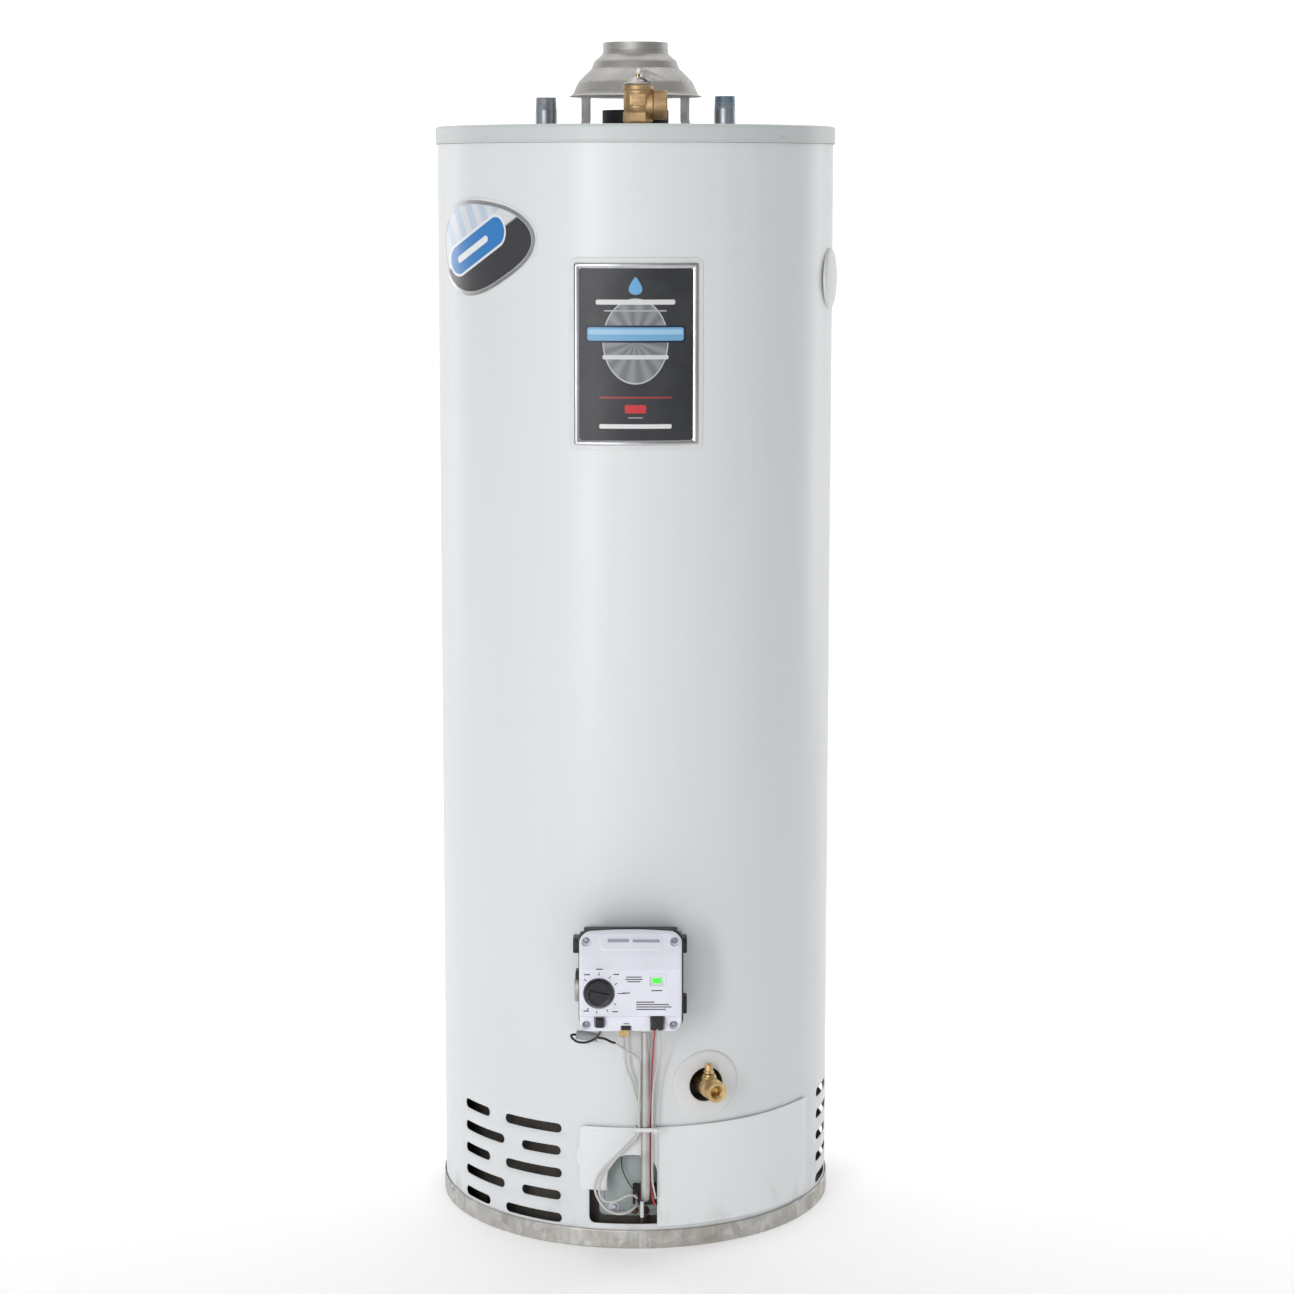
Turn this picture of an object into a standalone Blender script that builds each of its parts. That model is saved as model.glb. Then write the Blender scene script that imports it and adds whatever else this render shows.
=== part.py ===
"""Gas tank water heater: a 20 inch jacket round a glass-lined tank, with its burner,
gas control, feed lines, drain valve, relief valve and draft hood.

Metres, +Z up. The origin is on the heater's axis, at the floor. The front is at -Y.
An azimuth is measured in degrees round the axis, from the front towards +X.
"""

import math

import bmesh
import bpy
from mathutils import Vector

for old in list(bpy.data.objects):
    bpy.data.objects.remove(old, do_unlink=True)

# Driving dimensions
JACKET_R = 0.254
JACKET_WALL = 0.0008
CAP_TOP = 1.405
CAP_EDGE = 1.383
CAP_R = 0.2562
PAN_FLOOR = 0.0012
PAN_TOP = 0.0245
TANK_R = 0.2286
TANK_WALL = 0.0028
TANK_TOP = 1.318
FLUE_R = 0.0425
FLUE_WALL = 0.0025
HOOD_TOP = 1.5115
NIPPLE_X = 0.1146
NIPPLE_R = 0.0141
NIPPLE_BORE = 0.0095
CONTROL_FRONT = -0.336
CONTROL_BACK = -0.260
FEED_X, FEED_Y, FEED_R = 0.0124, -0.268, 0.0057
FEED_ENTRY_Z = 0.0665
DRAIN_AZIMUTH, DRAIN_Z = 20.4, 0.210
PORT_AZIMUTH, PORT_Z = 76.0, 1.214
WELL_X, WELL_Z = -0.006, 0.3655
RELIEF_X, RELIEF_Y, RELIEF_Z = 0.003, -0.12, 1.4303
DOOR_R = 0.2572
GAP = 0.0003
ROUND_SIDES = 48
HIDDEN_SIDES = 24
SLICE_ANGLE = 360 / ROUND_SIDES

COLOURS = {
    "jacket_paint": ((0.83, 0.85, 0.86), 0.35, 0.0),
    "cap_paint": ((0.74, 0.78, 0.78), 0.4, 0.0),
    "galvanised": ((0.60, 0.60, 0.58), 0.4, 1.0),
    "tank_steel": ((0.22, 0.20, 0.19), 0.6, 0.6),
    "foam": ((0.12, 0.11, 0.10), 0.95, 0.0),
    "flue_black": ((0.02, 0.02, 0.02), 0.5, 0.2),
    "door_steel": ((0.66, 0.71, 0.72), 0.4, 0.3),
    "zinc": ((0.55, 0.57, 0.60), 0.35, 1.0),
    "brass": ((0.72, 0.55, 0.27), 0.35, 1.0),
    "bronze": ((0.62, 0.44, 0.24), 0.5, 1.0),
    "stainless": ((0.72, 0.71, 0.69), 0.3, 1.0),
    "control_plastic": ((0.66, 0.66, 0.74), 0.45, 0.0),
    "black_plastic": ((0.03, 0.03, 0.04), 0.5, 0.0),
    "green_lens": ((0.10, 0.75, 0.05), 0.3, 0.0),
    "white_plastic": ((0.85, 0.85, 0.84), 0.5, 0.0),
    "red_insulation": ((0.75, 0.10, 0.15), 0.5, 0.0),
    "aluminium": ((0.62, 0.61, 0.62), 0.4, 1.0),
    "magnesium": ((0.55, 0.55, 0.53), 0.6, 1.0),
    "ceramic": ((0.86, 0.84, 0.80), 0.5, 0.0),
}

parts = bpy.data.collections.new("tank_water_heater")
cutters = bpy.data.collections.new("cutters")
for collection in (parts, cutters):
    bpy.context.scene.collection.children.link(collection)


# ---------------------------------------------------------------- helpers

def material(name):
    made = bpy.data.materials.get(name)
    if made is None:
        colour, roughness, metallic = COLOURS[name]
        made = bpy.data.materials.new(name)
        made.use_nodes = True
        shader = made.node_tree.nodes["Principled BSDF"]
        shader.inputs["Base Color"].default_value = (*colour, 1)
        shader.inputs["Roughness"].default_value = roughness
        shader.inputs["Metallic"].default_value = metallic
    return made


def add_object(name, data, look=None):
    """An object in the parts collection, or in the cutters collection where it has no look."""
    made = bpy.data.objects.new(name, data)
    if look:
        parts.objects.link(made)
        data.materials.append(material(look))
    else:
        cutters.objects.link(made)
        made.hide_render = True
        made.display_type = "WIRE"
    return made


def place(made, location=(0, 0, 0), rotation=(0, 0, 0)):
    made.location = location
    made.rotation_euler = [math.radians(angle) for angle in rotation]
    return made


def face_out(made, azimuth, height, radius=0.0):
    """Turns local +Z to point out of the heater, with local +Y up."""
    return place(made, polar(azimuth, radius, height), (90, 0, azimuth))


def front_rod(name, radius, near, far, x, z, look=None, sides=20):
    """A cylinder along the depth axis, from near to far in front of the heater's axis."""
    return place(rod(name, radius, near, far, look, sides), (x, 0, z), (90, 0, 0))


def polar(azimuth, radius, height):
    angle = math.radians(azimuth)
    return Vector((radius * math.sin(angle), -radius * math.cos(angle), height))


def arc(azimuth, radius):
    return math.radians(azimuth) * radius


def turned(name, profile, look=None, closed=True, sides=24):
    """A (radius, height) profile turned about Z. It runs down its outer side."""
    count = len(profile)
    edges = [(i, i + 1) for i in range(count - 1)]
    if closed:
        edges.append((count - 1, 0))
    mesh = bpy.data.meshes.new(name)
    mesh.from_pydata([(r, 0, z) for r, z in profile], edges, [])
    made = add_object(name, mesh, look)
    screw = made.modifiers.new("turn", "SCREW")
    screw.steps = screw.render_steps = sides
    screw.use_merge_vertices = True
    screw.merge_threshold = 0.00001
    return made


def disc_stack(name, rings, look=None, sides=24):
    """A solid turned shape from (radius, height) rings, top first, closed on its axis."""
    profile = [(0, rings[0][1]), *rings, (0, rings[-1][1])]
    return turned(name, profile, look, closed=False, sides=sides)


def hollow(name, outer, wall, look, sides=ROUND_SIDES):
    """An open turned surface, given its wall on the inside."""
    made = turned(name, outer, look, closed=False, sides=sides)
    shell = made.modifiers.new("wall", "SOLIDIFY")
    shell.thickness = wall
    shell.offset = -1
    return made


def rounded(corners, steps=3):
    """An outline through (x, y, radius) corners, each radius drawn as an arc."""
    outline = []
    count = len(corners)
    for i, (x, y, radius) in enumerate(corners):
        corner = Vector((x, y))
        if radius == 0:
            outline.append(corner)
            continue
        before = (Vector(corners[i - 1][:2]) - corner).normalized()
        after = (Vector(corners[(i + 1) % count][:2]) - corner).normalized()
        half = before.angle(after) / 2
        centre = corner + (before + after).normalized() * radius / math.sin(half)
        start = corner + before * radius / math.tan(half) - centre
        end = corner + after * radius / math.tan(half) - centre
        sweep = start.angle_signed(end)
        for step in range(steps + 1):
            turn = -sweep * step / steps
            outline.append(centre + Vector((
                start.x * math.cos(turn) - start.y * math.sin(turn),
                start.x * math.sin(turn) + start.y * math.cos(turn),
            )))
    return outline


def rectangle(low_x, high_x, low_y, high_y, radius=0.0, steps=3):
    corners = [(low_x, low_y), (high_x, low_y), (high_x, high_y), (low_x, high_y)]
    return rounded([(x, y, radius) for x, y in corners], steps)


def circle(x, y, radius, sides=24):
    turns = [2 * math.pi * i / sides for i in range(sides)]
    return [Vector((x + radius * math.cos(t), y + radius * math.sin(t))) for t in turns]


def outline_curve(name, outlines, thickness):
    curve = bpy.data.curves.new(name, "CURVE")
    curve.dimensions = "2D"
    curve.fill_mode = "BOTH" if thickness else "FRONT"
    curve.extrude = thickness / 2
    for outline in outlines:
        spline = curve.splines.new("POLY")
        spline.points.add(len(outline) - 1)
        for point, place_at in zip(spline.points, outline):
            point.co = (place_at.x, place_at.y, 0, 1)
        spline.use_cyclic_u = True
    return curve


def meshed(curve_object, look=None):
    """The curve as a welded mesh object, in the curve's place."""
    bpy.context.view_layer.update()
    evaluated = curve_object.evaluated_get(bpy.context.evaluated_depsgraph_get())
    mesh = bpy.data.meshes.new_from_object(evaluated)
    shape = bmesh.new()
    shape.from_mesh(mesh)
    bmesh.ops.remove_doubles(shape, verts=shape.verts, dist=0.000005)
    bmesh.ops.recalc_face_normals(shape, faces=shape.faces)
    shape.to_mesh(mesh)
    shape.free()
    mesh.materials.clear()
    name = curve_object.name
    matrix = curve_object.matrix_world.copy()
    bpy.data.objects.remove(curve_object)
    made = add_object(name, mesh, look)
    made.matrix_world = matrix
    return made


def plate(name, outlines, thickness, look=None, rotation=(90, 0, 0), location=(0, 0, 0)):
    """A flat outline (across, up) with a thickness along its normal, standing by default."""
    flat = add_object(name, outline_curve(name, outlines, thickness))
    place(flat, location, rotation)
    return meshed(flat, look)


def wrapped(name, outlines, radius, thickness, look=None, slice_angle=SLICE_ANGLE):
    """Sheet cut to outlines of (arc length, height), rolled to its outer radius."""
    flat = meshed(add_object(name, outline_curve(name, outlines, 0)))
    mesh = flat.data
    shape = bmesh.new()
    shape.from_mesh(mesh)
    reach = max(abs(vertex.co.x) for vertex in shape.verts)
    slices = int(reach / arc(slice_angle, radius)) + 1
    for i in range(-slices, slices + 1):
        bmesh.ops.bisect_plane(
            shape,
            geom=shape.verts[:] + shape.edges[:] + shape.faces[:],
            plane_co=(arc(i * slice_angle, radius), 0, 0),
            plane_no=(1, 0, 0),
        )
    outwards = sum(face.normal.z for face in shape.faces) > 0
    if not outwards:
        bmesh.ops.reverse_faces(shape, faces=shape.faces)
    for vertex in shape.verts:
        vertex.co = polar(math.degrees(vertex.co.x / radius), radius, vertex.co.y)
    shape.to_mesh(mesh)
    shape.free()
    bpy.data.objects.remove(flat)
    made = add_object(name, mesh, look)
    shell = made.modifiers.new("wall", "SOLIDIFY")
    shell.thickness = thickness
    shell.offset = -1
    return made


def block(name, low, high, look=None, edge=0.0):
    """A box between two corners, with its edges eased."""
    size = [b - a for a, b in zip(low, high)]
    centre = [(a + b) / 2 for a, b in zip(low, high)]
    mesh = bpy.data.meshes.new(name)
    shape = bmesh.new()
    bmesh.ops.create_cube(shape, size=1)
    bmesh.ops.scale(shape, vec=size, verts=shape.verts)
    shape.to_mesh(mesh)
    shape.free()
    made = place(add_object(name, mesh, look), centre)
    if edge:
        bevel = made.modifiers.new("edges", "BEVEL")
        bevel.width = edge
        bevel.segments = 1
    return made


def ball(name, centre, radius, look=None):
    mesh = bpy.data.meshes.new(name)
    shape = bmesh.new()
    bmesh.ops.create_uvsphere(shape, u_segments=12, v_segments=7, radius=radius)
    shape.to_mesh(mesh)
    shape.free()
    return place(add_object(name, mesh, look), centre)


def rod(name, radius, low, high, look=None, sides=20):
    """A cylinder along local Z, from low to high."""
    return disc_stack(name, [(radius, high), (radius, low)], look, sides)


def boolean(made, other, operation="DIFFERENCE"):
    step = made.modifiers.new(operation.lower(), "BOOLEAN")
    step.operation = operation
    step.object = other
    return made


def smooth_route(points, spacing):
    """Points an even distance apart on a smooth curve through the given ones."""
    knots = [Vector(p) for p in points]
    knots = [2 * knots[0] - knots[1], *knots, 2 * knots[-1] - knots[-2]]
    fine = []
    steps = 40
    for a, b, c, d in zip(knots, knots[1:], knots[2:], knots[3:]):
        for i in range(steps):
            t = i / steps
            fine.append(0.5 * (2 * b + (c - a) * t + (2 * a - 5 * b + 4 * c - d) * t ** 2
                               + (3 * b - a - 3 * c + d) * t ** 3))
    fine.append(knots[-2])
    length = sum((q - p).length for p, q in zip(fine, fine[1:]))
    count = max(2, round(length / spacing))
    route, walked, goal = [fine[0]], 0.0, length / count
    for p, q in zip(fine, fine[1:]):
        walked += (q - p).length
        if walked >= goal and len(route) < count:
            route.append(q)
            goal += length / count
    route.append(fine[-1])
    return route


def line(name, points, radius, look, spacing=None):
    """A round tube, wire or rod along a smooth route."""
    curve = bpy.data.curves.new(name, "CURVE")
    curve.dimensions = "3D"
    curve.bevel_depth = radius
    curve.bevel_resolution = 2
    curve.use_fill_caps = True
    route = smooth_route(points, spacing or radius * 5)
    spline = curve.splines.new("POLY")
    spline.points.add(len(route) - 1)
    for point, place_at in zip(spline.points, route):
        point.co = (*place_at, 1)
    return add_object(name, curve, look)


# ---------------------------------------------------------------- casing

def slot_rows():
    """Louvre slots as (low azimuth, high azimuth, height), one group of ten after another."""
    short, long, between = 12.8, 18.9, 6.4
    slots = []
    for start in (-60.2, 68.7, 160.5):
        for row in range(5):
            height = 0.151 - 0.0294 * row
            first, second = (short, long + 0.6) if row % 2 == 0 else (long, short + 0.3)
            slots.append((start, start + first, height))
            slots.append((start + first + between, start + first + between + second, height))
    return slots


def make_casing():
    rim_outer, rim_inner = JACKET_R + 0.0026, JACKET_R + 0.0018
    turned("base_pan", [
        (0, PAN_FLOOR), (rim_inner, PAN_FLOOR), (rim_inner, PAN_TOP), (rim_outer, PAN_TOP),
        (rim_outer, 0.001), (rim_outer - 0.001, 0), (0, 0),
    ], "galvanised", closed=False, sides=ROUND_SIDES)

    jacket_top, jacket_foot = CAP_TOP - 0.006, PAN_FLOOR + 0.0006
    jacket = turned("jacket", [
        (JACKET_R, jacket_top), (JACKET_R, jacket_foot),
        (JACKET_R - JACKET_WALL, jacket_foot), (JACKET_R - JACKET_WALL, jacket_top),
    ], "jacket_paint", sides=ROUND_SIDES)
    slot_height = 0.013
    outlines = [
        rectangle(arc(low, JACKET_R), arc(high, JACKET_R),
                  z - slot_height / 2, z + slot_height / 2)
        for low, high, z in slot_rows()
    ]
    outlines.append(rectangle(arc(-13.4, JACKET_R), arc(36, JACKET_R), 0.0316, 0.152, 0.008))
    boolean(jacket, wrapped("jacket_openings", outlines, JACKET_R + 0.004, 0.008))
    for name, radius, azimuth, height in (
        ("jacket_drain_hole", 0.025, DRAIN_AZIMUTH, DRAIN_Z),
        ("jacket_port_hole", 0.030, PORT_AZIMUTH, PORT_Z),
    ):
        boolean(jacket, face_out(rod(name, radius, 0.235, 0.270), azimuth, height))
    boolean(jacket, front_rod("jacket_well_hole", 0.0275, 0.235, 0.270, WELL_X, WELL_Z))

    cap = turned("top_cap", [
        (FLUE_R + 0.003, CAP_TOP), (CAP_R - 0.0040, CAP_TOP), (CAP_R, CAP_TOP - 0.0040),
        (CAP_R, CAP_EDGE), (CAP_R - 0.0008, CAP_EDGE), (CAP_R - 0.0008, CAP_TOP - 0.0038),
        (CAP_R - 0.0042, CAP_TOP - 0.0008), (FLUE_R + 0.003, CAP_TOP - 0.0008),
    ], "cap_paint", sides=ROUND_SIDES)
    foam_inner = (TANK_R + 0.0006) / math.cos(math.pi / HIDDEN_SIDES)
    foam = turned("insulation", [
        (FLUE_R + 0.003, 1.4030), (JACKET_R - 0.0016, 1.4030), (JACKET_R - 0.0016, 0.166),
        (foam_inner, 0.166), (foam_inner, TANK_TOP + 0.001),
        *[(r, max(dome(r) + 0.0012, TANK_TOP + 0.001)) for r in (0.225, 0.17, 0.10)],
        (FLUE_R + 0.003, dome(FLUE_R + 0.003) + 0.0012),
    ], "foam", sides=HIDDEN_SIDES)
    for x, radius, y in ((-NIPPLE_X, 0.0152, 0), (NIPPLE_X, 0.0152, 0),
                         (RELIEF_X, 0.0125, RELIEF_Y)):
        hole = place(rod("top_hole", radius, 1.28, 1.42), (x, y, 0))
        boolean(cap, hole)
        boolean(foam, hole)
    boolean(foam, face_out(rod("foam_drain_hole", 0.0215, 0.20, 0.27), DRAIN_AZIMUTH, DRAIN_Z))
    boolean(foam, front_rod("foam_well_hole", 0.022, 0.20, 0.27, WELL_X, WELL_Z))

    wrapped("drain_escutcheon", [
        circle(arc(DRAIN_AZIMUTH, JACKET_R), DRAIN_Z, 0.0435, 28),
        circle(arc(DRAIN_AZIMUTH, JACKET_R), DRAIN_Z, 0.0220, 20),
    ], JACKET_R + 0.0024, 0.0018, "white_plastic")
    face_out(turned("side_plug", [
        (0, 0.2605), (0.014, 0.2602), (0.028, 0.2592), (0.0365, 0.2575), (0.0375, 0.2560),
        (0.0375, 0.2545), (0.0290, 0.2545), (0.0290, 0.2530), (0, 0.2530),
    ], "white_plastic", closed=False), PORT_AZIMUTH, PORT_Z)


# ---------------------------------------------------------------- tank and flue

def dome(radius, edge=1.315, rise=0.030):
    return edge + rise * (1 - (radius / 0.2250) ** 2)


def head(name, edge, rise, depth):
    """A dished tank head with a flue hole and a flange turned down at its edge."""
    radii = (FLUE_R + 0.0012, 0.10, 0.17, 0.2250)
    outer = [(r, dome(r, edge, rise)) for r in radii]
    inner = [(min(r, 0.2224), z - TANK_WALL) for r, z in reversed(outer)]
    return turned(name, [*outer, (0.2250, edge - depth), (0.2224, edge - depth), *inner],
                  "tank_steel", sides=HIDDEN_SIDES)


def make_tank():
    tank = turned("tank_shell", [
        (TANK_R, TANK_TOP), (TANK_R, PAN_FLOOR + GAP),
        (TANK_R - TANK_WALL, PAN_FLOOR + GAP), (TANK_R - TANK_WALL, TANK_TOP),
    ], "tank_steel", sides=ROUND_SIDES)
    outlines = [rectangle(arc(-7, TANK_R), arc(28, TANK_R), 0.045, 0.135, 0.006)]
    outlines += [
        rectangle(arc(azimuth, TANK_R), arc(azimuth + 12, TANK_R), 0.006, 0.020)
        for azimuth in (-140, -60, 60, 140)
    ]
    boolean(tank, wrapped("tank_openings", outlines, TANK_R + 0.004, 0.010))
    boolean(tank, face_out(rod("tank_drain_hole", 0.0112, 0.21, 0.25), DRAIN_AZIMUTH, DRAIN_Z))
    boolean(tank, front_rod("tank_well_hole", 0.0128, 0.21, 0.25, WELL_X, WELL_Z))

    top = head("tank_top_head", 1.315, 0.030, 0.025)
    for x, y, radius in ((-NIPPLE_X, 0, 0.0145), (NIPPLE_X, 0, 0.0145),
                         (RELIEF_X, RELIEF_Y, 0.0115)):
        boolean(top, place(rod("head_hole", radius, 1.28, 1.37), (x, y, 0)))
    head("tank_bottom_head", 0.150, 0.035, 0.012)

    turned("flue_tube", [
        (FLUE_R, 1.4262), (FLUE_R, 0.178), (FLUE_R - FLUE_WALL, 0.178), (FLUE_R - FLUE_WALL, 1.4262),
    ], "flue_black")
    make_baffle()

    for name, x, top_z in (("hot_nipple", -NIPPLE_X, 1.4425), ("cold_nipple", NIPPLE_X, 1.4443)):
        place(turned(name, [
            (NIPPLE_R - 0.0014, top_z), (NIPPLE_R, top_z - 0.020), (NIPPLE_R, 1.330),
            (NIPPLE_BORE, 1.330), (NIPPLE_BORE, top_z),
        ], "zinc"), (x, 0, 0))
    place(turned("dip_tube", [
        (NIPPLE_BORE - GAP, 1.4400), (NIPPLE_BORE - GAP, 0.330),
        (0.0072, 0.330), (0.0072, 1.4400),
    ], "white_plastic", sides=16), (NIPPLE_X, 0, 0))
    place(disc_stack("anode_rod", [
        (0.0020, 1.3600), (0.0020, 1.3280), (0.0105, 1.3260), (0.0105, 0.450),
    ], "magnesium", 16), (-NIPPLE_X, 0, 0))


def make_baffle():
    """A strip twisted two full turns down the flue."""
    strip, steps, half_width = bmesh.new(), 32, 0.036
    rows = []
    for i in range(steps + 1):
        turn = 4 * math.pi * i / steps
        height = 0.250 + 1.160 * i / steps
        rows.append([
            strip.verts.new((side * half_width * math.cos(turn),
                             side * half_width * math.sin(turn), height))
            for side in (-1, 1)
        ])
    for lower, upper in zip(rows, rows[1:]):
        strip.faces.new((lower[0], lower[1], upper[1], upper[0]))
    mesh = bpy.data.meshes.new("flue_baffle")
    strip.to_mesh(mesh)
    strip.free()
    baffle = add_object("flue_baffle", mesh, "tank_steel")
    shell = baffle.modifiers.new("thickness", "SOLIDIFY")
    shell.thickness = 0.0015
    shell.offset = 0


# ---------------------------------------------------------------- burner and inner door

ENTRIES = {
    "feed_tube": (FEED_X, FEED_ENTRY_Z, FEED_R),
    "pilot_tube": (0.0015, 0.0575, 0.0016),
    "igniter_lead": (0.0015, 0.0655, 0.0014),
    "thermopile_lead_red": (0.0235, 0.0575, 0.0011),
    "thermopile_lead_white": (0.0235, 0.0655, 0.0011),
}
PILOT_Y = -0.112
PROBE_X, ELECTRODE_X = 0.0200, -0.0120


def make_burner():
    pan_inner = TANK_R - TANK_WALL - 0.0006
    turned("combustion_pan", [
        (pan_inner, 0.0302), (pan_inner, 0.0290), (0.0750, 0.0290), (0.0750, 0.0302),
    ], "tank_steel", sides=36)
    arrestor = disc_stack("flame_arrestor", [(0.088, 0.0287), (0.088, 0.0205)], "ceramic")
    for i in range(8):
        turn = 2 * math.pi * (i + 0.2) / 8
        at = (0.048 * math.cos(turn), 0.048 * math.sin(turn), 0)
        boolean(arrestor, place(rod("arrestor_hole", 0.010, 0.01, 0.04, sides=8), at))
    turned("burner", [
        (0, 0.100), (0.060, 0.102), (0.084, 0.098), (0.087, 0.091), (0.078, 0.084),
        (0.022, 0.078), (0.0145, 0.070), (0.0145, 0.060), (0.0110, 0.060), (0.0110, 0.090), (0, 0.090),
    ], "stainless", closed=False)
    disc_stack("gas_orifice", [
        (0.0020, 0.0560), (0.0030, 0.0500), (0.0085, 0.0490), (0.0085, 0.0325),
    ], "brass", 12)

    bracket = rod("pilot_burner", 0.0060, 0.0600, 0.0960, "stainless", 12)
    place(bracket, (0, PILOT_Y, 0))
    boolean(bracket, block("pilot_shelf", (-0.019, -0.120, 0.0660), (0.027, -0.104, 0.0680)), "UNION")
    for x, radius in ((PROBE_X, 0.0043), (ELECTRODE_X, 0.0027)):
        boolean(bracket, place(rod("probe_hole", radius, 0.04, 0.09, sides=12), (x, PILOT_Y, 0)))
    place(rod("thermopile", 0.0038, 0.0505, 0.0920, "stainless", 12), (PROBE_X, PILOT_Y, 0))
    place(rod("igniter_electrode", 0.0022, 0.0550, 0.0980, "ceramic", 12), (ELECTRODE_X, PILOT_Y, 0))

    door_r = TANK_R + 0.0039
    window = block("entry_window", (-0.0045, -0.2600, 0.0510), (0.0295, -0.2000, 0.0800))
    door = wrapped("inner_door", [
        rectangle(arc(-11.4, door_r), arc(32, door_r), 0.0355, 0.1440, 0.008),
    ], door_r, 0.0012, "door_steel")
    boolean(door, window)
    wrapped("inner_door_gasket", [
        rectangle(arc(-10.8, TANK_R), arc(31.4, TANK_R), 0.0375, 0.1420, 0.006),
        rectangle(arc(-7, TANK_R), arc(28, TANK_R), 0.0450, 0.1350, 0.006),
    ], TANK_R + 0.0019, 0.0014, "foam")
    grommet = block("feed_grommet", (-0.0035, -0.2400, 0.0520), (0.0285, -0.2240, 0.0790),
                    "black_plastic", 0.0015)
    for name, (x, z, radius) in ENTRIES.items():
        boolean(grommet, front_rod(name + "_hole", radius + GAP, 0.20, 0.27, x, z, sides=12))


def make_outer_door():
    left, right, top, foot = -15.8, 60.0, 0.159, 0.030
    corners = [
        (left, 0.0765, 0.006), (-8.0, 0.0765, 0.003), (-8.0, 0.124, 0.034), (6.1, 0.124, 0.026),
        (6.1, foot, 0.004), (right, foot, 0.008), (right, top, 0.008), (left, top, 0.008),
        (left, 0.134, 0.0), (left - 0.9, 0.131, 0.0), (left - 0.9, 0.111, 0.0), (left, 0.108, 0.0),
    ]
    outline = rounded([(arc(azimuth, DOOR_R), z, radius) for azimuth, z, radius in corners], 5)
    wrapped("outer_door", [outline], DOOR_R, 0.0012, "jacket_paint")


# ---------------------------------------------------------------- gas control

CONTROL_LEFT, CONTROL_RIGHT, CONTROL_FOOT, CONTROL_HEAD = -0.0687, 0.0566, 0.302, 0.429
KNOB_X, KNOB_Z, KNOB_R = -0.0444, 0.355, 0.0174
KNOB_SINK = 0.0055
BUTTON_X, BUTTON_Z, BUTTON_SIDE = -0.0438, 0.3165, 0.0090
INLET_Y, INLET_Z = -0.2840, 0.3490
SCREWS = ((-0.0602, 0.4170), (0.0480, 0.4170), (-0.0600, 0.3115), (0.0470, 0.3115))


def cover_front():
    """The cover's side profile, as (depth, height) points from its foot to its head."""
    return [
        (-0.3190, CONTROL_FOOT), (-0.3215, 0.3040), (-0.3270, 0.3230), (-0.3360, 0.3262),
        (CONTROL_FRONT, 0.3840), (-0.3290, 0.4030), (-0.3280, 0.4060), (-0.3225, 0.4275),
        (-0.3205, CONTROL_HEAD + 0.001),
    ]


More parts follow.
